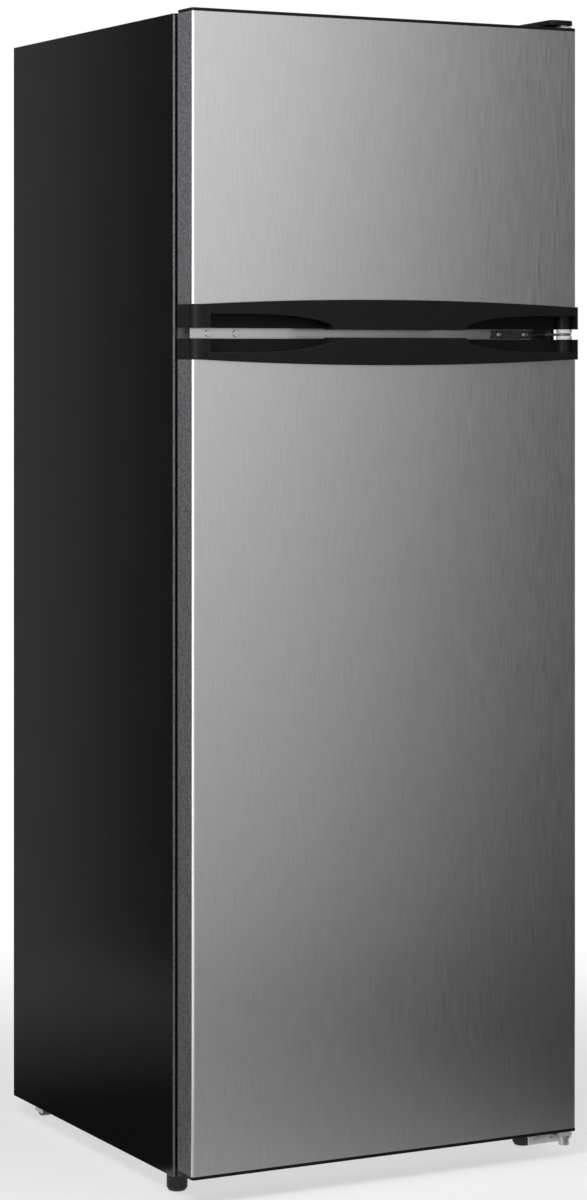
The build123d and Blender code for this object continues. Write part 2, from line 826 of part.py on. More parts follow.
with BuildPart() as top_hinge_cover:
    cover_left = hinge_x - top_plate_left - cover_side_gap
    cover_right = hinge_x + arm_half + seat_clearance + cover_wall
    cover_front = hinge_y - arm_half - seat_clearance - cover_nose
    cover_back = riser + top_plate_length + cover_side_gap
    cover_top = door_top + cover_rise
    skirt = arm_low + arm_lift / 2
    step_back = riser - cover_side_gap
    block(cover_left, cover_right, cover_front, cover_back, skirt, cover_top)
    block(cover_left, cover_right, step_back, cover_back, top, skirt)
    fillet(top_hinge_cover.edges().filter_by(Axis.Z).group_by(Axis.Y)[0], cover_corner)
    fillet(top_hinge_cover.edges().filter_by(Axis.Z).group_by(Axis.Y)[-1], cover_back_corner)
    fillet(top_hinge_cover.faces().sort_by(Axis.Z)[-1].edges(), cover_edge)
    block(cover_left + cover_wall, cover_right - cover_wall, cover_front + cover_nose,
          cover_back - cover_wall, skirt, cover_top - cover_wall, Mode.SUBTRACT)
    block(cover_left + cover_wall, cover_right - cover_wall, step_back + cover_wall,
          cover_back - cover_wall, top, skirt, Mode.SUBTRACT)
    block(hinge_x - arm_half - seat_clearance, hinge_x + arm_half + seat_clearance,
          cover_front + cover_nose, step_back + cover_wall, top, skirt, Mode.SUBTRACT)
save(top_hinge_cover.part, "top_hinge_cover")

with BuildPart() as middle_hinge_bracket:
    block(hinge_x - hinge_flange_far, hinge_x - hinge_flange_near, front - hinge_flange_sheet,
          front, gap_middle - hinge_flange_half, gap_middle + hinge_flange_half)
    fillet(middle_hinge_bracket.edges().filter_by(Axis.Y), hinge_flange_half / 2)
    block(hinge_x - hinge_arm_left, hinge_x + arm_end_radius, hinge_y, front, middle_low, middle_high)
    upright(hinge_x, hinge_y, middle_low, middle_high, arm_end_radius)
    upright(hinge_x, hinge_y, middle_low, middle_high, pin_hole, Mode.SUBTRACT)
    for x, z in middle_screws:
        lengthwise(x, z, front - hinge_flange_sheet, front, screw_hole, Mode.SUBTRACT)
save(middle_hinge_bracket.part, "middle_hinge_bracket")

with BuildPart() as bottom_hinge_bracket:
    low_face = cabinet_bottom - plate
    lip_front = hinge_y + bottom_lip_setback
    plate_left = hinge_x - bottom_plate_left
    plate_right = hinge_x + arm_end_radius
    block(plate_left, plate_right, lip_front, front + bottom_plate_reach, low_face,
          cabinet_bottom)
    block(plate_left, plate_right, lip_front, lip_front + plate, low_face - bottom_lip_drop,
          low_face)
    block(hinge_x - arm_end_radius, plate_right, hinge_y, lip_front, low_face, cabinet_bottom)
    upright(hinge_x, hinge_y, low_face, cabinet_bottom, arm_end_radius)
    upright(hinge_x, hinge_y, low_face, cabinet_bottom, pin_hole, Mode.SUBTRACT)
    for x, y in bottom_screws:
        upright(x, y, low_face, cabinet_bottom, screw_hole, Mode.SUBTRACT)
save(bottom_hinge_bracket.part, "bottom_hinge_bracket")

with BuildPart() as hinge_pins:
    upright(hinge_x, hinge_y, door_top - pin_engagement, arm_high, pin_radius)
    upright(hinge_x, hinge_y, arm_high, arm_high + pin_head, pin_radius + pin_head)
    upright(hinge_x, hinge_y, fridge_door_top - pin_engagement,
            freezer_door_bottom + pin_engagement, pin_radius)
    upright(hinge_x, hinge_y, low_face, door_bottom + pin_engagement, pin_radius)
    upright(hinge_x, hinge_y, low_face - bottom_lip_drop, low_face, bush_radius)
save(hinge_pins.part, "hinge_pins")

with BuildPart() as hinge_screws:
    for x, y in top_screws:
        upright(x, y, top + plate - screw_length, top + plate, screw_radius)
        upright(x, y, top + plate, top + plate + screw_head_height, screw_head_radius)
    for x, z in middle_screws:
        seat = front - hinge_flange_sheet
        lengthwise(x, z, seat, seat + screw_length, screw_radius)
        lengthwise(x, z, seat - screw_head_height, seat, screw_head_radius)
    for x, y in bottom_screws:
        upright(x, y, low_face, low_face + screw_length, screw_radius)
        upright(x, y, low_face - screw_head_height, low_face, screw_head_radius)
save(hinge_screws.part, "hinge_screws")


# Levelling feet at the front and rollers at the back
def levelling_foot(side, name):
    """A threaded stud in the base plate and the ribbed knob that turns on it."""
    x = side * foot_x
    with BuildPart() as stud:
        upright(x, foot_y, stud_low, stud_top, stud_radius)
        upright(x, foot_y, stud_low - stud_collar_height, stud_low, stud_radius + stud_collar)
    save(stud.part, f"{name}_foot_stud")
    with BuildPart() as knob:
        upright(x, foot_y, 0, foot_height, foot_radius - foot_rib_radius)
        fillet(knob.edges().group_by(Axis.Z)[0], foot_bottom_round)
        with Locations((x, foot_y, (foot_height + foot_rib_gap) / 2)):
            with PolarLocations(foot_radius - foot_rib_radius, foot_ribs):
                Cylinder(foot_rib_radius, foot_height - foot_rib_gap)
        upright(x, foot_y, stud_low, foot_height, stud_radius + running_clearance, Mode.SUBTRACT)
        upright(x, foot_y, stud_low - stud_collar_height - hole_clearance,
                stud_low + hole_clearance, stud_radius + stud_collar + hole_clearance,
                Mode.SUBTRACT)
    save(knob.part, f"{name}_foot_knob")


levelling_foot(-1, "left")
levelling_foot(1, "right")

ear_gap = roller_width / 2 + roller_side_gap
with BuildPart() as roller_brackets:
    for side in (-1, 1):
        x = side * roller_x
        for ear in (-1, 1):
            inner = x + ear * ear_gap
            outer = inner + ear * bracket_sheet
            block(min(inner, outer), max(inner, outer), roller_y - bracket_half,
                  roller_y + bracket_half, bracket_low, cabinet_bottom)
        block(x - ear_gap, x + ear_gap, roller_y - bracket_half, roller_y + bracket_half,
              cabinet_bottom - bracket_sheet, cabinet_bottom)
        crosswise(roller_y, roller_radius, x - ear_gap - bracket_sheet,
                  x + ear_gap + bracket_sheet, axle_radius + running_clearance, Mode.SUBTRACT)
save(roller_brackets.part, "roller_brackets")

with BuildPart() as roller_axles:
    for side in (-1, 1):
        x = side * roller_x
        reach = ear_gap + bracket_sheet + axle_overhang
        crosswise(roller_y, roller_radius, x - reach, x + reach, axle_radius)
save(roller_axles.part, "roller_axles")

for side, name in ((-1, "left_roller"), (1, "right_roller")):
    with BuildPart() as roller:
        x = side * roller_x
        crosswise(roller_y, roller_radius, x - roller_width / 2, x + roller_width / 2,
                  roller_radius)
        fillet(roller.edges(), roller_round)
        crosswise(roller_y, roller_radius, x - roller_width / 2, x + roller_width / 2,
                  axle_radius + running_clearance, Mode.SUBTRACT)
    save(roller.part, name)

# Freezer fittings: wire shelf, and the evaporator and fan behind a cover
with BuildPart() as freezer_shelf:
    shelf_half = inner_half - shelf_side_clearance
    shelf_back = cover_y - wire_shelf_gap
    wire_level = freezer_shelf_level + wire_radius
    end_gap = 3 * wire_radius
    for y in (shelf_front + end_gap, (shelf_front + shelf_back) / 2, shelf_back - end_gap):
        crosswise(y, wire_level, 1.5 * wire_radius - shelf_half, shelf_half - 1.5 * wire_radius,
                  cross_wire_radius)
    for side in (-1, 1):
        lengthwise(side * (shelf_half - wire_radius), wire_level, shelf_front, shelf_back,
                   wire_radius)
    wire_count = int((shelf_half - end_gap) / wire_pitch)
    for number in range(-wire_count, wire_count + 1):
        lengthwise(number * wire_pitch, wire_level + wire_radius, shelf_front, shelf_back,
                   thin_wire_radius)
save(freezer_shelf.part, "freezer_shelf")

fan_x = 0.0
motor_front = cover_y + motor_standoff
motor_back = inner_back - motor_back_gap
with BuildPart() as evaporator_cover:
    cover_half = inner_half - seat_clearance
    block(-cover_half, cover_half, cover_y, cover_y + cover_sheet, divider_high + seat_clearance,
          inner_top - seat_clearance)
    with BuildSketch(Plane.XZ.offset(-cover_y)):
        with Locations((fan_x, fan_level)):
            with GridLocations(0, grille_pitch, 1, grille_rows):
                SlotOverall(2 * fan_radius, grille_slot)
        with Locations((0, divider_high + return_rise)):
            with GridLocations(return_pitch_x, return_pitch_z, return_columns, return_rows):
                SlotOverall(return_slot_length, grille_slot)
    extrude(amount=-cover_sheet, mode=Mode.SUBTRACT)
save(evaporator_cover.part, "evaporator_cover")

with BuildPart() as evaporator_coil:
    coil_front = cover_y + coil_gap
    coil_back = inner_back - coil_back_gap
    coil_top = divider_high + coil_height
    with Locations((0, (coil_front + coil_back) / 2, (divider_high + coil_top) / 2)):
        with GridLocations(2 * coil_half / (coil_fins - 1), 0, coil_fins, 1):
            Box(fin_sheet, coil_back - coil_front, coil_top - divider_high)
    for y in (coil_front + coil_tube_pitch / 2, coil_back - coil_tube_pitch / 2):
        for row in range(coil_tube_rows):
            z = divider_high + coil_height / 2 + coil_tube_pitch * (row - (coil_tube_rows - 1) / 2)
            crosswise(y, z, -coil_half - 2 * tube_radius, coil_half + 2 * tube_radius, tube_radius)
save(evaporator_coil.part, "evaporator_coil")

with BuildPart() as fan_motor:
    strap_half = fan_radius + strap_overhang
    strap_back = motor_front + strap_sheet
    lengthwise(fan_x, fan_level, motor_front, motor_back, motor_radius)
    block(fan_x - strap_half, fan_x + strap_half, motor_front, strap_back,
          fan_level - strap_width / 2, fan_level + strap_width / 2)
    for side in (-1, 1):
        leg = fan_x + side * (strap_half - strap_leg / 2)
        block(leg - strap_leg / 2, leg + strap_leg / 2, cover_y + cover_sheet, strap_back,
              fan_level - strap_width / 2, fan_level + strap_width / 2)
    lengthwise(fan_x, fan_level, motor_front - fan_shaft_length, motor_front, fan_shaft_radius)
save(fan_motor.part, "fan_motor")

with BuildPart() as fan_rotor:
    hub_back = motor_front - fan_hub_gap
    hub_front = hub_back - fan_hub_length
    root = fan_hub_radius - blade_sheet
    blade_length = fan_radius - root
    lengthwise(fan_x, fan_level, hub_front, hub_back, fan_hub_radius)
    for number in range(fan_blades):
        turn = 360.0 * number / fan_blades
        spot = root + blade_length / 2
        middle = (fan_x + spot * cos(radians(turn)), (hub_front + hub_back) / 2,
                  fan_level + spot * sin(radians(turn)))
        with Locations(Location(middle, (0, -turn, 0)) * Location((0, 0, 0), (blade_pitch, 0, 0))):
            Box(blade_length, blade_sheet, blade_width)
    lengthwise(fan_x, fan_level, hub_front + fan_cap, hub_back, fan_shaft_radius + running_clearance,
               Mode.SUBTRACT)
save(fan_rotor.part, "fan_rotor")

# Glass shelves on the liner's ledges, each with a trim along its front edge
glass_half = inner_half - shelf_side_clearance
shelf_nodes = ("crisper_cover", "lower_shelf", "upper_shelf")
for node, level in zip(shelf_nodes, shelf_levels):
    with BuildPart() as glass:
        block(-glass_half, glass_half, shelf_front + glass_lip, inner_back - shelf_side_clearance,
              level, level + shelf_glass)
        fillet(glass.edges().filter_by(Axis.Z), shelf_corner)
    save(glass.part, node)

with BuildPart() as shelf_trims:
    slot = shelf_glass + 2 * running_clearance
    for level in shelf_levels:
        middle = level + shelf_glass / 2
        block(-glass_half, glass_half, shelf_front, shelf_front + trim_depth,
              middle - trim_height / 2, middle + trim_height / 2)
        block(-glass_half, glass_half, shelf_front + glass_lip - running_clearance,
              shelf_front + trim_depth, middle - slot / 2, middle + slot / 2, Mode.SUBTRACT)
    fillet(shelf_trims.edges().filter_by(Axis.X).group_by(Axis.Y)[0], glass_lip / 2)
save(shelf_trims.part, "shelf_trims")

with BuildPart() as crisper_drawer:
    drawer_half = inner_half - drawer_side_clearance
    drawer_low = inner_floor + runner_height + seat_clearance
    drawer_back = step_front - drawer_side_clearance
    block(-drawer_half, drawer_half, shelf_front, drawer_back, drawer_low,
          drawer_low + drawer_height)
    fillet(crisper_drawer.edges().filter_by(Axis.Z), drawer_corner)
    fillet(crisper_drawer.faces().sort_by(Axis.Z)[0].edges(), drawer_bottom_round)
    block(drawer_wall - drawer_half, drawer_half - drawer_wall, shelf_front + drawer_wall,
          drawer_back - drawer_wall, drawer_low + drawer_wall, drawer_low + drawer_height,
          Mode.SUBTRACT)
    pull_top = drawer_low + drawer_height
    block(-drawer_pull_half, drawer_pull_half, shelf_front, shelf_front + drawer_wall,
          pull_top - drawer_pull_depth, pull_top, Mode.SUBTRACT)
save(crisper_drawer.part, "crisper_drawer")

# Controls on the fridge ceiling: thermostat, lamp and door switch
knob_level = divider_low - control_drop / 2
with BuildPart() as control_housing:
    block(-control_half, control_half, control_front, control_back, divider_low - control_drop,
          divider_low)
    fillet(control_housing.edges().filter_by(Axis.Z), control_corner)
    fillet(control_housing.faces().sort_by(Axis.Z)[0].edges(), control_edge)
    lengthwise(knob_x, knob_level, control_front - spindle_length, control_front, spindle_radius)
save(control_housing.part, "control_housing")

with BuildPart() as thermostat_knob:
    knob_back = control_front - seat_clearance
    knob_front = knob_back - knob_depth
    lengthwise(knob_x, knob_level, knob_front, knob_back, knob_radius)
    fillet(thermostat_knob.edges().group_by(Axis.Y)[0], knob_cap)
    with Locations(Location((knob_x, (knob_front + knob_back) / 2, knob_level), (90, 0, 0))):
        with PolarLocations(knob_radius, knob_flutes):
            Cylinder(flute_radius, knob_back - knob_front, mode=Mode.SUBTRACT)
    lengthwise(knob_x, knob_level, knob_front + knob_cap, knob_back,
               spindle_radius + running_clearance, Mode.SUBTRACT)
    block(knob_x - pointer_width / 2, knob_x + pointer_width / 2, knob_front - pointer_height,
          knob_front, knob_level + knob_radius / 3, knob_level + knob_radius - 2 * knob_cap)
save(thermostat_knob.part, "thermostat_knob")

with BuildPart() as lamp_cover:
    housing_low = divider_low - control_drop
    block(-lamp_left, 0, control_front + lamp_margin, control_back - lamp_margin,
          housing_low - lamp_drop, housing_low)
    fillet(lamp_cover.edges().filter_by(Axis.Z), lamp_corner)
    fillet(lamp_cover.faces().sort_by(Axis.Z)[0].edges(), lamp_edge)
save(lamp_cover.part, "lamp_cover")

switch_level = divider_low - dike_gap - switch_drop
switch_front = door_back + dike_height + switch_gap
with BuildPart() as switch_housing:
    block(switch_x - switch_half, switch_x + switch_half, switch_front,
          switch_front + switch_length, switch_level - switch_skirt, divider_low)
    lengthwise(switch_x, switch_level, switch_front, switch_front + switch_bore,
               plunger_radius + running_clearance, Mode.SUBTRACT)
save(switch_housing.part, "switch_housing")

with BuildPart() as switch_plunger:
    lengthwise(switch_x, switch_level, door_back + dike_height + seat_clearance,
               switch_front + plunger_tail, plunger_radius)
    fillet(switch_plunger.edges().group_by(Axis.Y)[0], plunger_radius / 3)
save(switch_plunger.part, "switch_plunger")

# Machine compartment: compressor on rubber feet, relay box, drip tray and tubes
machine_middle = (machine_front + back) / 2
plate_low = base_top + grommet_height
shell_low = plate_low + plate
shell_top = shell_low + shell_height
relay_face = shell_center_x - shell_length / 2 - terminal_reach
stub_end = shell_center_x + shell_length / 2 + stub_reach
suction_level = shell_low + suction_rise
discharge_level = shell_low + discharge_rise
discharge_y = machine_middle - discharge_offset
with BuildPart() as compressor:
    with BuildSketch(Plane.XY.offset(shell_low)):
        with Locations((shell_center_x, machine_middle)):
            Ellipse(shell_length / 2, shell_depth / 2)
    extrude(amount=shell_height)
    fillet(compressor.edges().group_by(Axis.Z)[-1], shell_top_round)
    fillet(compressor.edges().group_by(Axis.Z)[0], shell_low_round)
    with BuildSketch(Plane.XY.offset(shell_low + weld_level)):
        with Locations((shell_center_x, machine_middle)):
            Ellipse(shell_length / 2 + weld_rim, shell_depth / 2 + weld_rim)
    extrude(amount=weld_height)
    plate_x = foot_plate_x + foot_plate_edge
    plate_y = foot_plate_y + foot_plate_edge
    block(shell_center_x - plate_x, shell_center_x + plate_x, machine_middle - plate_y,
          machine_middle + plate_y, plate_low, shell_low)
    block(relay_face, shell_center_x, machine_middle - terminal_half,
          machine_middle + terminal_half, shell_low + terminal_low, shell_low + terminal_high)
    crosswise(machine_middle, suction_level, shell_center_x, stub_end, tube_radius + tube_stub)
    crosswise(discharge_y, discharge_level, shell_center_x, stub_end, tube_radius + tube_stub)
save(compressor.part, "compressor")

with BuildPart() as compressor_grommets:
    with Locations((shell_center_x, machine_middle, base_top + grommet_height / 2)):
        with GridLocations(2 * foot_plate_x, 2 * foot_plate_y, 2, 2):
            Cylinder(grommet_radius, grommet_height)
save(compressor_grommets.part, "compressor_grommets")

with BuildPart() as relay_cover:
    relay_left = relay_face - relay_width
    relay_back = machine_middle + relay_half
    block(relay_left, relay_face, machine_middle - relay_half, relay_back,
          shell_low + relay_low, shell_low + relay_high)
    fillet(relay_cover.edges().filter_by(Axis.X), relay_round)
    gland_x = (relay_left + relay_face) / 2
    gland_z = shell_low + gland_level
    lengthwise(gland_x, gland_z, relay_back, relay_back + gland_length, gland_radius)
    lengthwise(gland_x, gland_z, relay_back, relay_back + gland_length, gland_bore, Mode.SUBTRACT)
save(relay_cover.part, "relay_cover")

with BuildPart() as drip_tray:
    block(shell_center_x - tray_half_x, shell_center_x + tray_half_x, machine_middle - tray_half_y,
          machine_middle + tray_half_y, shell_top, shell_top + tray_height)
    fillet(drip_tray.edges().filter_by(Axis.Z), tray_corner)
    block(shell_center_x - tray_half_x + tray_wall, shell_center_x + tray_half_x - tray_wall,
          machine_middle - tray_half_y + tray_wall, machine_middle + tray_half_y - tray_wall,
          shell_top + tray_wall, shell_top + tray_height, Mode.SUBTRACT)
save(drip_tray.part, "drip_tray")

riser_x = stub_end + riser_reach
with BuildPart() as suction_tube:
    with BuildLine() as suction_route:
        FilletPolyline((stub_end, machine_middle, suction_level),
                       (riser_x, machine_middle, suction_level),
                       (riser_x, machine_middle, machine_top), radius=tube_bend)
    with BuildSketch(Plane.YZ.offset(stub_end)):
        with Locations((machine_middle, suction_level)):
            Circle(tube_radius)
    sweep(path=suction_route.line)

with BuildPart() as discharge_tube:
    crosswise(discharge_y, discharge_level, stub_end, panel_face, tube_radius)
tubes = [suction_tube.part, discharge_tube.part]
for side in (-1, 1):
    tube_x = side * (panel_face - tube_radius)
    corners = []
    for number in range(condenser_runs):
        y = number * condenser_pitch - condenser_half
        ends = (condenser_low, condenser_high) if number % 2 == 0 else (condenser_high, condenser_low)
        corners += [(tube_x, y, z) for z in ends]
    with BuildPart() as condenser:
        with BuildLine() as condenser_route:
            FilletPolyline(*corners, radius=condenser_bend)
        with BuildSketch(Plane.XY.offset(condenser_low)):
            with Locations((tube_x, -condenser_half)):
                Circle(tube_radius)
        sweep(path=condenser_route.line)
    tubes.append(condenser.part)
save(Compound(children=tubes), "refrigerant_tubes")

# Sheets that line the machine compartment and run on from the back, meeting edge to edge
with BuildPart() as compartment_ceiling:
    ceiling_low = machine_top - sheet
    block(-sheet_half, sheet_half, machine_front, foam_back + sheet, ceiling_low, machine_top)
    upright(riser_x, machine_middle, ceiling_low, machine_top, tube_radius + running_clearance,
            Mode.SUBTRACT)
with BuildPart() as compartment_wall:
    block(-sheet_half, sheet_half, machine_front, machine_front + sheet, base_top, ceiling_low)
back_sheets = [back_panel.part, compartment_ceiling.part, compartment_wall.part]
save(Compound(children=back_sheets), "back_panel")
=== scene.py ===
# %% [markdown]
# # A top freezer refrigerator, finished for the studio
#
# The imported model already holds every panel, door, shelf and screw in its right place. This lesson
# gives each of them a finish, rebuilds the few pieces whose looks depend on smooth curves, and
# lights the whole thing on a pale floor. Every object stays in metres in the frame of the model.

# %% Load the frame
import json
import math

import bmesh
import bpy
import numpy as np
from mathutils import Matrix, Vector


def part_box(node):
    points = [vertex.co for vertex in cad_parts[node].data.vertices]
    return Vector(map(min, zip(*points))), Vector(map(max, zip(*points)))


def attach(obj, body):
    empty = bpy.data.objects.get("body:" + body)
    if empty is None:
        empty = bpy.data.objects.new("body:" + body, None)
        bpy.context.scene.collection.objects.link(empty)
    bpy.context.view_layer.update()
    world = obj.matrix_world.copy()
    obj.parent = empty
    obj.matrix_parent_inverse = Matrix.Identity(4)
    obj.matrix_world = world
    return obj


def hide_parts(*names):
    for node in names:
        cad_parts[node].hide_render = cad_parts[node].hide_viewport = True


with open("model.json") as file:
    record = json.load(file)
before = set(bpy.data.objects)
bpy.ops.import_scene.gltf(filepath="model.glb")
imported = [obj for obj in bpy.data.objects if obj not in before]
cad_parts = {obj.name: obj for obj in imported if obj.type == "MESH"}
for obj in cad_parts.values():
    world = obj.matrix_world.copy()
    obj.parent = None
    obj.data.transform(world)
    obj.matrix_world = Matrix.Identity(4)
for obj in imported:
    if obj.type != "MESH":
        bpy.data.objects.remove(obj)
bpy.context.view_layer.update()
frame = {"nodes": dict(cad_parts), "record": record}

nodes = frame["nodes"]

# %% [markdown]
# ## Finishes: one shader, patterns on Object coordinates
#
# A finish here is one Principled shader. Values that are the same all over a surface are typed on
# its own sockets. Whatever varies over a surface comes from a noise or cell pattern that reads
# Object coordinates, so the pattern keeps its true size in metres and rides with the piece. Most
# of a noise lies between 0.3 and 0.7, so that span is what colours and roughnesses are drawn over.

# %% Helpers for finishes
pattern_low = 0.3
pattern_high = 0.7


def shader_of(material):
    """The one Principled shader of a finish."""
    return material.node_tree.nodes["Principled BSDF"]


def new_finish(name, color, roughness, metallic=0.0, **sockets):
    """A material with one Principled shader; extra socket names use _ for a space."""
    material = bpy.data.materials.new(name)
    material.use_nodes = True
    shader = shader_of(material)
    shader.inputs["Base Color"].default_value = (*color, 1.0)
    shader.inputs["Roughness"].default_value = roughness
    shader.inputs["Metallic"].default_value = metallic
    for socket, value in sockets.items():
        shader.inputs[socket.replace("_", " ")].default_value = value
    material.diffuse_color = (*color, 1.0)
    return material


def pattern(material, kind, scale, stretch=(1.0, 1.0, 1.0), detail=2.0):
    """A noise or cell pattern on Object coordinates, each axis multiplied by its stretch."""
    tree = material.node_tree
    place = tree.nodes.new("ShaderNodeTexCoord")
    mapping = tree.nodes.new("ShaderNodeMapping")
    mapping.inputs["Scale"].default_value = stretch
    texture = tree.nodes.new("ShaderNodeTex" + kind)
    texture.inputs["Scale"].default_value = scale
    if kind == "Noise":
        texture.inputs["Detail"].default_value = detail
    tree.links.new(place.outputs["Object"], mapping.inputs["Vector"])
    tree.links.new(mapping.outputs["Vector"], texture.inputs["Vector"])
    return texture.outputs["Color"] if kind == "Voronoi" else texture.outputs[0]


def tint(material, factor, dark, light, low=pattern_low, high=pattern_high):
    """Base colour that runs from dark to light as the pattern goes from low to high."""
    tree = material.node_tree
    ramp = tree.nodes.new("ShaderNodeValToRGB")
    ramp.color_ramp.elements[0].position = low
    ramp.color_ramp.elements[1].position = high
    ramp.color_ramp.elements[0].color = (*dark, 1.0)
    ramp.color_ramp.elements[1].color = (*light, 1.0)
    tree.links.new(factor, ramp.inputs["Fac"])
    tree.links.new(ramp.outputs["Color"], shader_of(material).inputs["Base Color"])


def vary_roughness(material, factor, low, high):
    """Roughness that runs from low to high with the pattern."""
    tree = material.node_tree
    span = tree.nodes.new("ShaderNodeMapRange")
    span.inputs["From Min"].default_value = pattern_low
    span.inputs["From Max"].default_value = pattern_high
    span.inputs["To Min"].default_value = low
    span.inputs["To Max"].default_value = high
    tree.links.new(factor, span.inputs["Value"])
    tree.links.new(span.outputs["Result"], shader_of(material).inputs["Roughness"])


def relief(material, height, distance):
    """A bump whose height is the pattern times a distance in metres."""
    tree = material.node_tree
    bump = tree.nodes.new("ShaderNodeBump")
    bump.inputs["Distance"].default_value = distance
    tree.links.new(height, bump.inputs["Height"])
    tree.links.new(bump.outputs["Normal"], shader_of(material).inputs["Normal"])


print("finish helpers ready")

# %% [markdown]
# ## Brushed steel
#
# The door fronts are stainless sheet, drawn against an abrasive belt so that thousands of fine
# scratches run straight up and down. A picture of scratches would tile and blur. Noise that is
# squeezed across the door and drawn out along its height gives scratches of any length, and the
# shader's own anisotropy smears reflections sideways, as real vertical scratches do.

# %% Brushed steel
brushed_steel = new_finish("brushed_steel", (0.69, 0.69, 0.69), 0.33, 1.0, Anisotropic=0.45)
scratches = pattern(brushed_steel, "Noise", 1.0, (1100.0, 1100.0, 26.0), detail=4.0)
tint(brushed_steel, scratches, (0.655, 0.655, 0.655), (0.745, 0.745, 0.745))
vary_roughness(brushed_steel, scratches, 0.29, 0.37)
relief(brushed_steel, scratches, 0.000012)
around = brushed_steel.node_tree.nodes.new("ShaderNodeTangent")
around.direction_type = "RADIAL"
around.axis = "Z"
brushed_steel.node_tree.links.new(
    around.outputs["Tangent"], shader_of(brushed_steel).inputs["Tangent"])
print("made", brushed_steel.name)

# %% [markdown]
# ## Painted and embossed sheet
#
# The cabinet is prepainted black steel with a satin skin, and the door sides are a grey sheet with
# a fine pebbled emboss. Both are one smooth colour seen from afar, and their character is in the
# relief: a soft orange peel on the paint and small dense pebbles on the grey.

# %% Painted sheet
cabinet_black = new_finish("cabinet_black", (0.004, 0.004, 0.0043), 0.2, Specular_IOR_Level=0.25)
peel = pattern(cabinet_black, "Noise", 900.0, detail=3.0)
tint(cabinet_black, peel, (0.003, 0.003, 0.0033), (0.005, 0.005, 0.0053))
vary_roughness(cabinet_black, pattern(cabinet_black, "Noise", 14.0), 0.18, 0.22)
relief(cabinet_black, peel, 0.000012)

pebbled_grey = new_finish("pebbled_grey", (0.10, 0.102, 0.107), 0.48, Specular_IOR_Level=0.35)
pebbles = pattern(pebbled_grey, "Noise", 420.0, detail=3.0)
tint(pebbled_grey, pebbles, (0.04, 0.042, 0.047), (0.18, 0.182, 0.19))
relief(pebbled_grey, pebbles, 0.00035)

silver_paint = new_finish("silver_paint", (0.70, 0.70, 0.695), 0.2, 1.0)
flakes = pattern(silver_paint, "Noise", 2400.0)
tint(silver_paint, flakes, (0.66, 0.66, 0.655), (0.75, 0.75, 0.745))
vary_roughness(silver_paint, flakes, 0.16, 0.24)

stove_enamel = new_finish("stove_enamel", (0.013, 0.013, 0.014), 0.3, Specular_IOR_Level=0.5)
runs = pattern(stove_enamel, "Noise", 220.0, (1.0, 1.0, 0.4))
tint(stove_enamel, runs, (0.010, 0.010, 0.011), (0.020, 0.020, 0.021))
vary_roughness(stove_enamel, runs, 0.24, 0.38)
relief(stove_enamel, runs, 0.00008)
print("made", cabinet_black.name, pebbled_grey.name, silver_paint.name, stove_enamel.name)

# %% [markdown]
# ## Bare and plated metal
#
# Galvanised sheet freezes in leafy crystals, so a cell pattern gives each crystal its own grey.
# Bright zinc plate is more even, with cloudy patches from the plating bath. The evaporator's fins
# are rolled aluminium, and the tubes are drawn copper that has darkened where it was handled.

# %% Bare and plated metal
galvanised = new_finish("galvanised", (0.42, 0.43, 0.44), 0.45, 0.85)
spangle = pattern(galvanised, "Voronoi", 85.0)
tint(galvanised, spangle, (0.36, 0.37, 0.38), (0.50, 0.51, 0.52), 0.1, 0.9)
vary_roughness(galvanised, spangle, 0.38, 0.55)

bright_zinc = new_finish("bright_zinc", (0.60, 0.61, 0.62), 0.34, 1.0)
clouds = pattern(bright_zinc, "Noise", 130.0, detail=5.0)
tint(bright_zinc, clouds, (0.50, 0.51, 0.52), (0.68, 0.69, 0.70))
vary_roughness(bright_zinc, clouds, 0.26, 0.44)

# painted shade: a darker copy of the bright zinc, for the middle hinge bracket that sits in shade
# between the doors
painted_shade_zinc = new_finish("painted_shade_zinc", (0.16, 0.16, 0.165), 0.38, 1.0)
film = pattern(painted_shade_zinc, "Noise", 160.0, detail=5.0)
tint(painted_shade_zinc, film, (0.11, 0.11, 0.115), (0.22, 0.22, 0.225))
vary_roughness(painted_shade_zinc, film, 0.3, 0.48)

rolled_aluminium = new_finish("rolled_aluminium", (0.72, 0.73, 0.74), 0.36, 1.0)
rolling = pattern(rolled_aluminium, "Noise", 1.0, (60.0, 900.0, 60.0), detail=3.0)
tint(rolled_aluminium, rolling, (0.66, 0.67, 0.68), (0.78, 0.79, 0.80))
vary_roughness(rolled_aluminium, rolling, 0.3, 0.44)

drawn_copper = new_finish("drawn_copper", (0.62, 0.30, 0.18), 0.3, 1.0)
handling = pattern(drawn_copper, "Noise", 60.0, detail=5.0)
tint(drawn_copper, handling, (0.42, 0.19, 0.11), (0.70, 0.36, 0.23))
vary_roughness(drawn_copper, handling, 0.24, 0.42)
print("made", galvanised.name, bright_zinc.name, painted_shade_zinc.name)

# %% [markdown]
# ## Plastics, rubber and foam
#
# Moulded black parts come from a spark-eroded mould, which leaves a fine even grain and a dull
# sheen. The white liner is vacuum-formed sheet, glossier and faintly rippled. The seal is soft and
# dull, and the foam is full of tiny cells.

# %% Plastics, rubber and foam
grained_black = new_finish("grained_black", (0.008, 0.008, 0.0082), 0.44, Specular_IOR_Level=0.14)
sparks = pattern(grained_black, "Noise", 800.0, detail=3.0)
tint(grained_black, sparks, (0.004, 0.004, 0.0042), (0.013, 0.013, 0.0132))
vary_roughness(grained_black, pattern(grained_black, "Noise", 40.0), 0.40, 0.48)
relief(grained_black, sparks, 0.00012)

glossy_black = new_finish("glossy_black", (0.006, 0.006, 0.0063), 0.28, Specular_IOR_Level=0.5)
moulding = pattern(glossy_black, "Noise", 300.0)
tint(glossy_black, moulding, (0.004, 0.004, 0.0043), (0.009, 0.009, 0.0093))
vary_roughness(glossy_black, moulding, 0.22, 0.34)

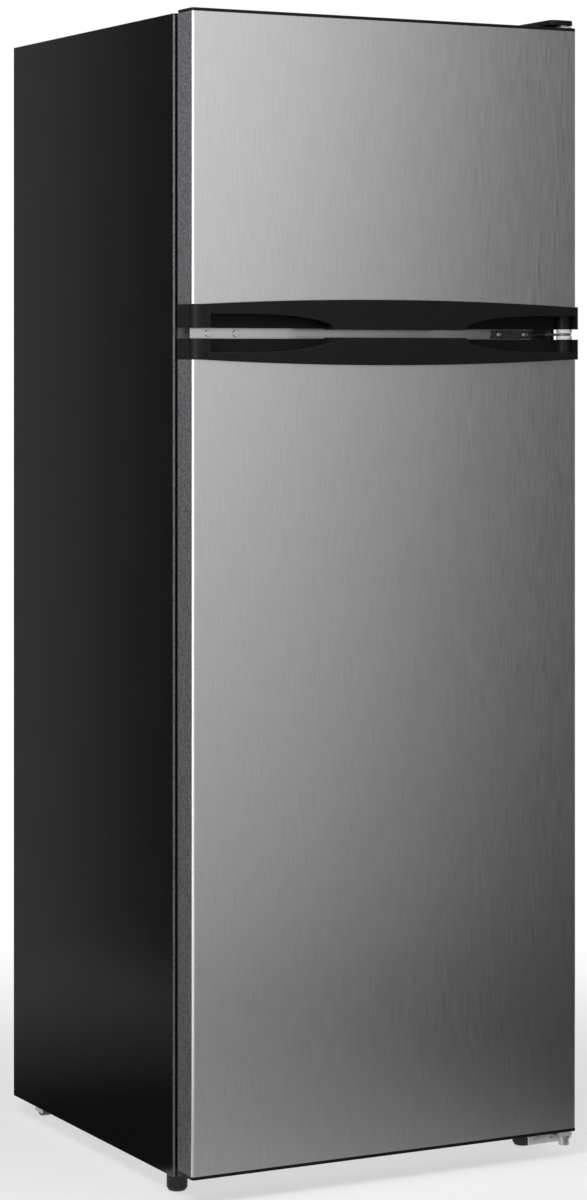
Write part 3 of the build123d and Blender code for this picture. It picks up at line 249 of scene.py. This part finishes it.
liner_white = new_finish("liner_white", (0.78, 0.79, 0.80), 0.3, Specular_IOR_Level=0.5)
forming = pattern(liner_white, "Noise", 260.0)
tint(liner_white, forming, (0.765, 0.775, 0.785), (0.80, 0.81, 0.82))
vary_roughness(liner_white, forming, 0.26, 0.36)
relief(liner_white, forming, 0.00006)

natural_nylon = new_finish("natural_nylon", (0.70, 0.70, 0.66), 0.45, Subsurface_Weight=0.1)
flow = pattern(natural_nylon, "Noise", 300.0)
tint(natural_nylon, flow, (0.64, 0.64, 0.60), (0.76, 0.76, 0.72))
vary_roughness(natural_nylon, flow, 0.38, 0.52)

moulded_grey = new_finish("moulded_grey", (0.20, 0.20, 0.21), 0.5)
mould_grain = pattern(moulded_grey, "Noise", 1400.0)
tint(moulded_grey, mould_grain, (0.17, 0.17, 0.18), (0.23, 0.23, 0.24))
vary_roughness(moulded_grey, mould_grain, 0.42, 0.58)
relief(moulded_grey, mould_grain, 0.00006)

blown_foam = new_finish("blown_foam", (0.70, 0.58, 0.33), 0.85)
cells = pattern(blown_foam, "Voronoi", 700.0)
tint(blown_foam, cells, (0.60, 0.48, 0.25), (0.78, 0.66, 0.40), 0.1, 0.9)
relief(blown_foam, cells, 0.0003)

seal_rubber = new_finish("seal_rubber", (0.03, 0.03, 0.033), 0.6, Sheen_Weight=0.1)
bloom = pattern(seal_rubber, "Noise", 180.0, detail=4.0)
tint(seal_rubber, bloom, (0.022, 0.022, 0.025), (0.042, 0.042, 0.046))
vary_roughness(seal_rubber, bloom, 0.5, 0.7)
print("made", grained_black.name, liner_white.name, seal_rubber.name)

# %% [markdown]
# ## Clear plastic and shelf glass
#
# Bins and the drawer are clear moulded plastic, slightly blue in the thick. Shelves are toughened
# plate, slightly green. Both need transmission rather than plain transparency, so that their edges
# gather and bend light. A faint ripple keeps them from looking like perfect optics.

# %% Clear plastic and shelf glass
clear_plastic = new_finish("clear_plastic", (0.95, 0.97, 0.985), 0.06, Transmission_Weight=0.96,
                           IOR=1.49)
sink_marks = pattern(clear_plastic, "Noise", 24.0)
tint(clear_plastic, sink_marks, (0.935, 0.96, 0.978), (0.965, 0.98, 0.99))
vary_roughness(clear_plastic, sink_marks, 0.04, 0.1)
relief(clear_plastic, sink_marks, 0.0002)

plate_glass = new_finish("plate_glass", (0.91, 0.97, 0.945), 0.02, Transmission_Weight=0.97,
                         IOR=1.52)
roller_wave = pattern(plate_glass, "Noise", 12.0)
tint(plate_glass, roller_wave, (0.89, 0.96, 0.93), (0.93, 0.98, 0.96))
vary_roughness(plate_glass, roller_wave, 0.015, 0.04)
print("made", clear_plastic.name, plate_glass.name)

# %% [markdown]
# ## Dress the nodes
#
# Each CAD node says in the record which kind of surface it has. A table from that kind to a finish
# dresses them all at once, and a few nodes get their own; the middle hinge bracket's darker zinc is
# painted shade.

# %% Dress the nodes
finish_of_slot = {
    "brushed_stainless": brushed_steel, "black_sheet": cabinet_black, "grey_sheet": galvanised,
    "zinc_steel": bright_zinc, "silver_strip": silver_paint, "black_plastic": grained_black,
    "white_plastic": liner_white, "nylon": natural_nylon, "grey_plastic": moulded_grey,
    "foam": blown_foam, "gasket_rubber": seal_rubber, "clear_plastic": clear_plastic,
    "shelf_glass": plate_glass, "fin_aluminium": rolled_aluminium, "copper_tube": drawn_copper,
    "compressor_paint": stove_enamel,
}
slot_of_node = {row["node"]: row["material_slot"] for row in frame["record"]["subparts"]}


def dress(node, finish):
    """Put a finish in a CAD node's material slot."""
    for slot in nodes[node].material_slots:
        slot.material = finish


for node, slot in slot_of_node.items():
    dress(node, finish_of_slot[slot])
# painted shade: the middle bracket takes the darker zinc copy because it sits in shade
dress("middle_hinge_bracket", painted_shade_zinc)
dress("hinge_hole_plugs", silver_paint)
dress("left_foot_knob", glossy_black)
dress("right_foot_knob", glossy_black)
print("dressed", len(slot_of_node), "nodes of", len(finish_of_slot), "kinds of surface")

# %% [markdown]
# ## Pieces from grids
#
# Every new piece below is a grid of points worked out as whole numpy arrays. The faces of a grid
# are always the same four-cornered stitches, so one helper makes them, closed in one direction or
# both, and another turns points and faces into an object that rides on its body.

# %% Helpers for pieces
crease_angle = math.radians(35.0)
grid_weld = 1e-7


def stitches(rows, columns, wrap_rows=False, wrap_columns=False):
    """Quads of a grid: corner (r, c) with its next row and column, wrapping round where asked."""
    r = np.arange(rows if wrap_rows else rows - 1)[:, None]
    c = np.arange(columns if wrap_columns else columns - 1)[None, :]
    r_next = (r + 1) % rows
    c_next = (c + 1) % columns
    corners = [r * columns + c, r * columns + c_next,
               r_next * columns + c_next, r_next * columns + c]
    return np.stack(np.broadcast_arrays(*corners), axis=-1).reshape(-1, 4)


def make_piece(name, points, faces, finishes, body, stands_for, face_finish=None):
    """An object from points and faces, outward and smooth, that stands for a node of its body."""
    mesh = bpy.data.meshes.new(name)
    mesh.from_pydata(points.reshape(-1, 3).tolist(), [], [list(face) for face in faces])
    for finish in finishes:
        mesh.materials.append(finish)
    if face_finish is not None:
        mesh.polygons.foreach_set("material_index", np.asarray(face_finish, np.int32))
    shell = bmesh.new()
    shell.from_mesh(mesh)
    bmesh.ops.remove_doubles(shell, verts=shell.verts, dist=grid_weld)
    bmesh.ops.recalc_face_normals(shell, faces=shell.faces)
    shell.to_mesh(mesh)
    shell.free()
    mesh.polygons.foreach_set("use_smooth", np.ones(len(mesh.polygons), bool))
    mesh.set_sharp_from_angle(angle=crease_angle)
    piece = bpy.data.objects.new(name, mesh)
    bpy.context.scene.collection.objects.link(piece)
    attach(piece, body)
    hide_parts(stands_for)
    print("made", name, "with", len(mesh.polygons), "faces")


print("piece helpers ready")

# %% [markdown]
# ## Soft edges
#
# No real edge is knife sharp. A mould leaves about half a millimetre of radius, a press leaves a
# little less, and that radius draws the thin light line along an edge. The CAD meshes are loose
# triangles, which a bevel can't join, so each piece is copied, welded, cleared of the lines inside
# its flat faces and bevelled. Weighted normals keep the flat faces flat beside their round edges.
# The two door caps fold over in a bevel once their flat faces are whole, so they keep their
# triangles. Pieces that a bevel would swell, such as the long curved handles, stay as they are.

# %% Soft edges
body_of_node = {node: body for body, members in frame["record"]["behaviour"]["bodies"].items()
                for node in members}
flat_angle = math.radians(0.5)
node_weld = 1e-6
kept_triangles = {"freezer_door_end_cap", "fridge_door_end_cap"}


def welded_copy(node):
    """The CAD node's triangles as one joined mesh, its flat faces whole unless they are kept."""
    source = nodes[node].data
    corners = np.empty(3 * len(source.vertices))
    source.vertices.foreach_get("co", corners)
    source.calc_loop_triangles()
    triangles = np.empty(3 * len(source.loop_triangles), np.int32)
    source.loop_triangles.foreach_get("vertices", triangles)
    mesh = bpy.data.meshes.new(node + "_rounded")
    mesh.from_pydata(corners.reshape(-1, 3).tolist(), [], triangles.reshape(-1, 3).tolist())
    shell = bmesh.new()
    shell.from_mesh(mesh)
    bmesh.ops.remove_doubles(shell, verts=shell.verts, dist=node_weld)
    if node not in kept_triangles:
        bmesh.ops.dissolve_limit(shell, angle_limit=flat_angle, verts=shell.verts,
                                 edges=shell.edges)
    shell.to_mesh(mesh)
    shell.free()
    mesh.polygons.foreach_set("use_smooth", np.ones(len(mesh.polygons), bool))
    mesh.set_sharp_from_angle(angle=crease_angle)
    return mesh


def rounded(node, width):
    """A welded copy that stands for its node, with a bevel of the given width in metres."""
    mesh = welded_copy(node)
    mesh.materials.append(nodes[node].material_slots[0].material)
    piece = bpy.data.objects.new(node + "_rounded", mesh)
    bpy.context.scene.collection.objects.link(piece)
    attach(piece, body_of_node[node])
    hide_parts(node)
    bevel = piece.modifiers.new("soft_edge", "BEVEL")
    bevel.width = width
    bevel.segments = 2
    bevel.limit_method = "ANGLE"
    bevel.angle_limit = crease_angle
    bevel.use_clamp_overlap = False
    normals = piece.modifiers.new("flat_faces", "WEIGHTED_NORMAL")
    normals.weight = 100
    return piece


nodes_by_radius = {
    0.0006: ["lamp_cover", "shelf_trims", "lower_shelf", "upper_shelf", "crisper_cover",
             "freezer_liner", "fridge_liner", "compressor", "relay_cover"],
    0.0004: ["crisper_drawer", "freezer_door_bins", "drip_tray", "freezer_door_liner",
             "top_hinge_cover", "top_hinge_bracket", "middle_hinge_bracket", "bottom_hinge_bracket",
             "hinge_pins", "freezer_door_bushes", "fridge_door_bushes", "hinge_hole_plugs",
             "left_roller", "right_roller", "roller_axles", "roller_brackets", "switch_housing",
             "switch_plunger", "compressor_grommets", "fan_rotor"],
    0.0002: ["top_panel", "base_plate", "divider_strip", "evaporator_cover", "fridge_door_bins",
             "fridge_door_liner", "freezer_door_end_cap", "fridge_door_end_cap"],
}
for radius, members in nodes_by_radius.items():
    for node in members:
        rounded(node, radius)
    print("rounded", len(members), "pieces by", radius * 1000, "mm")

# %% [markdown]
# ## Cabinet sides with a grey front frame
#
# The side sheets are black outside. Their front edges roll round a 2 mm radius into the frame that
# the door seals meet. The roll is painted grey, a painted highlight standing in for the thin light
# line it would catch beside the doors; a narrow black band follows it, and the frame behind the
# doors is the same pebbled grey as their sides. The sheet is one mesh, so it is cut along the band's
# inner edge, and each face takes one of the two finishes by where it lies.

# %% Cabinet sides
roll_radius = 0.002
band_end = 0.0055
cut_edge = 0.0001


def side_sheet(node, side):
    """A welded copy of a side sheet, grey on its frame and painted grey on its roll as a painted
    highlight; side is -1 left, 1 right.
    """
    piece = rounded(node, cut_edge)
    low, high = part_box(node)
    outside = max(abs(low.x), abs(high.x))
    shell = bmesh.new()
    shell.from_mesh(piece.data)
    bmesh.ops.bisect_plane(shell, geom=shell.verts[:] + shell.edges[:] + shell.faces[:],
                           plane_co=(side * (outside - band_end), 0.0, 0.0),
                           plane_no=(1.0, 0.0, 0.0))
    shell.to_mesh(piece.data)
    shell.free()
    centers = np.empty(3 * len(piece.data.polygons))
    piece.data.polygons.foreach_get("center", centers)
    x, y = centers.reshape(-1, 3)[:, :2].T
    inward = outside - side * x
    # painted highlight: the roll's faces are painted grey as a light line; the frame past the band
    # is grey in its own colour
    grey_frame_and_painted_highlight = (y < low.y + roll_radius) & ((inward < roll_radius) | (inward > band_end))
    piece.data.materials.append(pebbled_grey)
    piece.data.polygons.foreach_set("material_index", grey_frame_and_painted_highlight.astype(np.int32))
    print("made", piece.name, "with", int(grey_frame_and_painted_highlight.sum()), "grey faces")


side_sheet("left_side_panel", -1)
side_sheet("right_side_panel", 1)

# %% [markdown]
# ## Door sheets with a rolled fold
#
# Each door front is one sheet whose edges roll back over a small radius into the door's sides and
# turn in again behind the door. The bright line along the left of the door is that roll catching
# the light, so its curve has to be fine and smooth. The plan outline, out along one side and back
# along the inside of the sheet, is worked out once and carried up the height of the door.

# %% Door sheets
fold_radius = 0.004
sheet_thickness = 0.0006
return_width = 0.0037
fold_steps = 14


def fold_outline(low, high, inset):
    """Plan points of one line of the sheet: return edge, side and quarter turn, then mirrored."""
    radius = fold_radius - inset
    turn = np.linspace(0.0, np.pi / 2, fold_steps)
    x = high[0] - fold_radius + radius * np.cos(turn)
    y = low[1] + fold_radius - radius * np.sin(turn)
    x = np.r_[high[0] - return_width, high[0] - inset, x]
    y = np.r_[high[1] - inset, high[1] - inset, y]
    right = np.stack([x, y], axis=-1)
    return np.concatenate([right, right[::-1] * [-1.0, 1.0]])


def door_sheet(name, node, body):
    """An open profile with an outer and an inner line, carried straight up from low to high."""
    low, high = (np.array(corner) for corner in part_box(node))
    outer = fold_outline(low, high, 0.0)
    inner = fold_outline(low, high, sheet_thickness)
    loop = np.concatenate([outer, inner[::-1]])
    heights = np.array([low[2], high[2]])
    points = np.empty((len(heights), len(loop), 3))
    points[..., :2] = loop
    points[..., 2] = heights[:, None]
    walls = stitches(len(heights), len(loop), wrap_columns=True)
    count = len(outer)
    step = np.arange(count - 1)
    end = np.stack([step, step + 1, 2 * count - 2 - step, 2 * count - 1 - step], axis=-1)
    faces = np.concatenate([walls, end, end + len(loop)])
    middle = points.reshape(-1, 3)[faces].mean(axis=1)
    on_side = middle[:, 1] > low[1] + fold_radius
    make_piece(name, points, faces, [brushed_steel, pebbled_grey], body, node,
               on_side)


door_sheet("freezer_door_sheet", "freezer_door_skin", "freezer_door")
door_sheet("fridge_door_sheet", "fridge_door_skin", "fridge_door")

# %% [markdown]
# ## Door seals
#
# A refrigerator seal is an extruded strip: a foot that presses into the door, a folded bellows
# that lets it stretch, and a flat pocket with the magnet that holds to the cabinet. The strip is
# cut at 45 degrees and welded at the corners, so its profile can be carried round a rectangle by
# moving every profile point out to its own corner.

# %% Door seals
seal_width = 0.014


def seal_profile(width, depth):
    """Profile (u across, v from door to cabinet): foot, two bellows folds and a magnet pocket."""
    across = np.array([-0.28, -0.30, -0.22, -0.40, -0.42, -0.20, -0.24, -0.46, -0.50, -0.50, -0.46])
    along = np.array([0.00, 0.16, 0.22, 0.32, 0.40, 0.48, 0.54, 0.58, 0.64, 0.93, 1.00])
    left = np.stack([across * width, along * depth], axis=-1)
    return np.concatenate([left, left[::-1] * [-1.0, 1.0]])


def door_seal(name, node, body):
    """Every profile point (u, v) traces the rectangle of half sizes plus u at depth v."""
    low, high = (np.array(corner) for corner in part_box(node))
    profile = seal_profile(seal_width, high[1] - low[1])
    half_x = (high[0] - low[0] - seal_width) / 2
    half_z = (high[2] - low[2] - seal_width) / 2
    sign_x = np.array([-1.0, 1.0, 1.0, -1.0])[:, None]
    sign_z = np.array([-1.0, -1.0, 1.0, 1.0])[:, None]
    points = np.empty((len(sign_x), len(profile), 3))
    points[..., 0] = (low[0] + high[0]) / 2 + sign_x * (half_x + profile[:, 0])
    points[..., 1] = low[1] + profile[:, 1]
    points[..., 2] = (low[2] + high[2]) / 2 + sign_z * (half_z + profile[:, 0])
    faces = stitches(len(points), len(profile), wrap_rows=True, wrap_columns=True)
    make_piece(name, points, faces, [seal_rubber], body, node)


door_seal("freezer_door_seal", "freezer_door_gasket", "freezer_door")
door_seal("fridge_door_seal", "fridge_door_gasket", "fridge_door")

# %% [markdown]
# ## Hinge screws
#
# The screws are pan heads with a cross recess. A head is a dome on a polar grid, lowered wherever
# a point falls inside the cross, and the same rings run on down the edge of the head and along the
# shank, so one surface of revolution with one dent makes the whole screw.

# %% Hinge screws
head_radius = 0.0046
head_height = 0.0026
shank_radius = 0.0024
shank_length = 0.0069
thread_depth = 0.00018
thread_count = 9
recess_half_width = 0.00055
recess_reach = 0.0027
recess_depth = 0.0013
rim_share = 0.45
dome_share = 0.92
tip_share = 0.6
tip_start = 0.94
dome_rings = 22
thread_rings = 40
screw_turns = 72


def screw_surface():
    """Rings of (radius, height): recessed dome, head edge, seat, shank with thread ripple, tip."""
    dome = np.linspace(0.0, 1.0, dome_rings)
    rise = rim_share + (1 - rim_share) * np.sqrt(1 - dome_share * dome ** 2)
    radius = np.r_[dome * head_radius, head_radius, shank_radius]
    height = np.r_[head_height * rise, 0.0, 0.0]
    thread = np.linspace(0.0, 1.0, thread_rings)
    ripple = shank_radius - thread_depth * (0.5 - 0.5 * np.cos(thread * 2 * np.pi * thread_count))
    radius = np.r_[radius, ripple, shank_radius * tip_share, 0.0]
    height = np.r_[height, -thread * shank_length * tip_start, -shank_length, -shank_length]
    angle = np.arange(screw_turns) * 2 * np.pi / screw_turns
    x = radius[:, None] * np.cos(angle)
    y = radius[:, None] * np.sin(angle)
    arm = np.minimum(np.abs(x), np.abs(y)) < recess_half_width
    reach = np.maximum(np.abs(x), np.abs(y)) < recess_reach
    on_dome = (np.arange(len(radius)) < len(dome))[:, None]
    z = np.broadcast_to(height[:, None], x.shape) - recess_depth * (arm & reach & on_dome)
    return np.stack([x, y, z], axis=-1)


def placed_screw(seat, out):
    """The screw surface turned so that its head points along out, with its seat at a point."""
    out = np.array(out, float)
    side = np.array([0.0, 0.0, 1.0]) if abs(out[1]) > 0.5 else np.array([1.0, 0.0, 0.0])
    turn = np.stack([side, np.cross(out, side), out])
    return screw_surface() @ turn + np.array(seat)


print("one screw has", screw_surface().shape[0], "rings of", screw_turns, "points")

# %% [markdown]
# ## Screws in their seats
#
# Three screws hold the top hinge from above, two hold the middle hinge from the front, and two hold
# the bottom hinge from below. The box of the CAD screws ends at their heads, so one head's height
# less gives each seat, and the hinge pins give the line that the screws are measured from.

# %% Screws in their seats
top_insets = (0.014, 0.002, 0.014)
top_setback = 0.028
top_pitch = 0.015
middle_insets = (0.075, 0.037)
bottom_insets = (0.036, 0.006)
bottom_setback = 0.014
screws_low, screws_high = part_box("hinge_screws")
pins_low, pins_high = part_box("hinge_pins")
bracket_low, bracket_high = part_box("middle_hinge_bracket")
hinge_x = (pins_low.x + pins_high.x) / 2
gap_z = (bracket_low.z + bracket_high.z) / 2
cabinet_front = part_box("top_panel")[0].y
top_seat = screws_high.z - head_height
middle_seat = screws_low.y + head_height
bottom_seat = screws_low.z + head_height
screw_seats = [
    ((hinge_x - inset, cabinet_front + top_setback + row * top_pitch, top_seat), (0, 0, 1))
    for row, inset in enumerate(top_insets)]
screw_seats += [
    ((hinge_x - inset, middle_seat, gap_z), (0, -1, 0)) for inset in middle_insets]
screw_seats += [
    ((hinge_x - inset, cabinet_front + bottom_setback, bottom_seat), (0, 0, -1))
    for inset in bottom_insets]
screw_points = np.stack([placed_screw(seat, out) for seat, out in screw_seats])
ring_count = screw_points.shape[1]
one_screw = stitches(ring_count, screw_turns, wrap_columns=True)
screw_faces = np.concatenate(
    [one_screw + index * ring_count * screw_turns for index in range(len(screw_seats))])
make_piece("hinge_screw_set", screw_points, screw_faces, [bright_zinc], "cabinet",
           "hinge_screws")

# %% [markdown]
# ## What looks straight at the studio
#
# A white studio is easy to look at and hard to light by, because it would flood the object from all
# sides. A Light Path node tells the rays apart. Rays from the camera, and those that reach the
# studio by way of steel or glass, may see plain white, while the light that falls on the object
# stays at its own gentler level.

# %% Rays that look straight at something
def seen_directly(tree):
    """1 for camera, glossy and transmission rays, 0 for the rest."""
    rays = tree.nodes.new("ShaderNodeLightPath")
    first = tree.nodes.new("ShaderNodeMath")
    first.operation = "MAXIMUM"
    both = tree.nodes.new("ShaderNodeMath")
    both.operation = "MAXIMUM"
    tree.links.new(rays.outputs["Is Camera Ray"], first.inputs[0])
    tree.links.new(rays.outputs["Is Glossy Ray"], first.inputs[1])
    tree.links.new(first.outputs[0], both.inputs[0])
    tree.links.new(rays.outputs["Is Transmission Ray"], both.inputs[1])
    return both.outputs[0]


print("ray helper ready")

# %% [markdown]
# ## Floor
#
# The refrigerator stands on a plain pale floor. Near the object the floor is part lit surface,
# which keeps the shadow, and part white glow. With distance from the middle the glow takes over, so
# that the floor meets the white background from every side without an edge.

# %% Floor
floor_half = 30.0
floor_mesh = bpy.data.meshes.new("studio_floor")
floor_corners = np.array([[-1, -1], [1, -1], [1, 1], [-1, 1]]) * floor_half
floor_mesh.from_pydata(np.c_[floor_corners, np.zeros(4)].tolist(), [], [[0, 1, 2, 3]])
floor = bpy.data.objects.new("studio_floor", floor_mesh)
bpy.context.scene.collection.objects.link(floor)
print("floor of", 2 * floor_half, "m")

# %% Floor finish
near_white = 0.6
fade_start = 0.4
fade_end = 1.6
pale_floor = new_finish("pale_floor", (0.88, 0.88, 0.88), 0.7, Specular_IOR_Level=0.1)
floor_tree = pale_floor.node_tree
floor_place = floor_tree.nodes.new("ShaderNodeTexCoord")
distance = floor_tree.nodes.new("ShaderNodeVectorMath")
distance.operation = "LENGTH"
fade = floor_tree.nodes.new("ShaderNodeMapRange")
fade.interpolation_type = "SMOOTHSTEP"
fade.inputs["From Min"].default_value = fade_start
fade.inputs["From Max"].default_value = fade_end
fade.inputs["To Min"].default_value = near_white
gate = floor_tree.nodes.new("ShaderNodeMath")
gate.operation = "MULTIPLY"
white = floor_tree.nodes.new("ShaderNodeEmission")
blend = floor_tree.nodes.new("ShaderNodeMixShader")
floor_tree.links.new(floor_place.outputs["Object"], distance.inputs[0])
floor_tree.links.new(distance.outputs["Value"], fade.inputs["Value"])
floor_tree.links.new(fade.outputs["Result"], gate.inputs[0])
floor_tree.links.new(seen_directly(floor_tree), gate.inputs[1])
floor_tree.links.new(gate.outputs[0], blend.inputs["Fac"])
floor_tree.links.new(shader_of(pale_floor).outputs["BSDF"], blend.inputs[1])
floor_tree.links.new(white.outputs["Emission"], blend.inputs[2])
floor_tree.links.new(blend.outputs["Shader"], floor_tree.nodes["Material Output"].inputs["Surface"])
floor_mesh.materials.append(pale_floor)
print("floor:", near_white, "white near the object, all white from", fade_end, "m")

# %% [markdown]
# ## World
#
# The world is white to the eye and in reflections. As fill light it is much weaker, so that the
# softboxes give the object its shape.

# %% World
world = bpy.data.worlds.new("studio_world")
bpy.context.scene.world = world
world.use_nodes = True
sky = world.node_tree
fill_level = 0.15
background = sky.nodes["Background"]
background.inputs["Color"].default_value = (1.0, 1.0, 1.0, 1.0)
level = sky.nodes.new("ShaderNodeMapRange")
level.inputs["To Min"].default_value = fill_level
level.inputs["To Max"].default_value = 1.0
sky.links.new(seen_directly(sky), level.inputs["Value"])
sky.links.new(level.outputs["Result"], background.inputs["Strength"])
print("fill light", fill_level)

# %% [markdown]
# ## Softboxes
#
# One softbox stands on the left and a larger one hangs in front, both hidden from the camera. The
# left one is kept out of reflections too, because seen from behind, its image would bleach the
# satin top.

# %% Softboxes
def softbox(name, place, target, width, height, watts):
    """A rectangular area lamp at a place, facing a target, unseen by the camera."""
    lamp = bpy.data.lights.new(name, "AREA")
    lamp.shape = "RECTANGLE"
    lamp.size = width
    lamp.size_y = height
    lamp.energy = watts
    holder = bpy.data.objects.new(name, lamp)
    holder.location = place
    aim = np.array(target) - np.array(place)
    holder.rotation_euler = (math.acos(-aim[2] / np.linalg.norm(aim)), 0.0,
                             math.atan2(-aim[0], aim[1]))
    holder.visible_camera = False
    bpy.context.scene.collection.objects.link(holder)
    return holder


left_softbox = softbox("left_softbox", (-1.3, -1.1, 1.75), (-0.2, -0.2, 1.1), 0.9, 0.9, 26.0)
left_softbox.visible_glossy = False
softbox("top_softbox", (0.4, -1.4, 3.2), (0.0, 0.0, 0.7), 2.0, 2.0, 32.0)
print("made two softboxes")

# %% [markdown]
# ## Cards
#
# A photographer lights steel and gloss by what they reflect. Graded cards stand and lie out of
# view, seen only in reflections, so that the steel shows a slow fall from light to dark and the
# black side keeps its depth.

# %% Card helpers
card_lift = 0.002


def card(name, corners, *gradients):
    """A graded card seen only in reflections; its grey is the product of its gradients.

    A gradient is (axis, start, end, grey at start, grey at end), with places in metres."""
    mesh = bpy.data.meshes.new(name)
    mesh.from_pydata([list(corner) for corner in corners], [], [[0, 1, 2, 3]])
    board = bpy.data.materials.new(name + "_board")
    board.use_nodes = True
    tree = board.node_tree
    tree.nodes.remove(tree.nodes["Principled BSDF"])
    glow = tree.nodes.new("ShaderNodeEmission")
    place = tree.nodes.new("ShaderNodeTexCoord")
    axes = tree.nodes.new("ShaderNodeSeparateXYZ")
    product = tree.nodes.new("ShaderNodeMath")
    product.operation = "MULTIPLY"
    product.inputs[1].default_value = 1.0
    tree.links.new(place.outputs["Object"], axes.inputs["Vector"])
    for number, (axis, *values) in enumerate(gradients):
        shade = tree.nodes.new("ShaderNodeMapRange")
        for socket, value in zip(("From Min", "From Max", "To Min", "To Max"), values):
            shade.inputs[socket].default_value = value
        tree.links.new(axes.outputs[axis], shade.inputs["Value"])
        tree.links.new(shade.outputs["Result"], product.inputs[number])
    tree.links.new(product.outputs[0], glow.inputs["Strength"])
    tree.links.new(glow.outputs["Emission"], tree.nodes["Material Output"].inputs["Surface"])
    mesh.materials.append(board)
    sheet = bpy.data.objects.new(name, mesh)
    sheet.visible_camera = False
    sheet.visible_shadow = False
    sheet.visible_diffuse = False
    sheet.visible_transmission = False
    bpy.context.scene.collection.objects.link(sheet)


def upright_corners(start, end, height):
    """Corners of an upright card over the line from one floor point to another."""
    return [(*start, 0.0), (*end, 0.0), (*end, height), (*start, height)]


def flat_corners(low, high):
    """Corners of a card lying just above the floor."""
    return [(low[0], low[1], card_lift), (high[0], low[1], card_lift),
            (high[0], high[1], card_lift), (low[0], high[1], card_lift)]


print("card helpers ready")

# %% Cards
card("front_card", upright_corners((-0.7, -1.5), (2.8, -1.5), 2.8),
     ("X", 0.25, 1.05, 1.0, 0.02), ("Z", 0.0, 1.6, 0.40, 1.0))
card("front_floor_card", flat_corners((-0.7, -1.5), (2.8, -0.3)),
     ("X", -0.25, 0.55, 0.36, 0.02))
card("side_card", upright_corners((-0.9, -0.1), (-0.9, 6.0), 3.6), ("Y", 1.12, 1.6, 0.0, 0.30))
card("side_floor_card", flat_corners((-0.9, -0.1), (-0.28, 5.0)), ("Y", 0.3, 1.0, 0.03, 0.30))
card("right_card", upright_corners((1.1, -0.5), (1.1, 1.6), 2.4), ("Y", -0.5, 1.6, 0.05, 0.05))
card("left_strip_card", upright_corners((-1.42, -1.02), (-1.56, -0.78), 1.9),
     ("Z", 0.0, 1.2, 2.0, 9.0))
print("made six cards")

# %% [markdown]
# ## Camera
#
# The photograph's edges give a level camera a little to the left of the doors, about a metre above
# the floor. A downward shift frames the object without tilting the camera, which keeps the
# uprights upright, as in the photograph.

# %% Camera
camera_data = bpy.data.cameras.new("studio_camera")
camera_data.lens = 97.54
camera_data.sensor_width = 36.0
camera_data.shift_y = -0.2
camera = bpy.data.objects.new("studio_camera", camera_data)
camera.location = (-1.984, -3.7855, 1.020)
camera.rotation_euler = (math.radians(90.0), 0.0, math.radians(-27.757))
bpy.context.scene.collection.objects.link(camera)
bpy.context.scene.camera = camera
bpy.context.scene.view_settings.view_transform = "Standard"
print("camera at", tuple(round(v, 3) for v in camera.location))
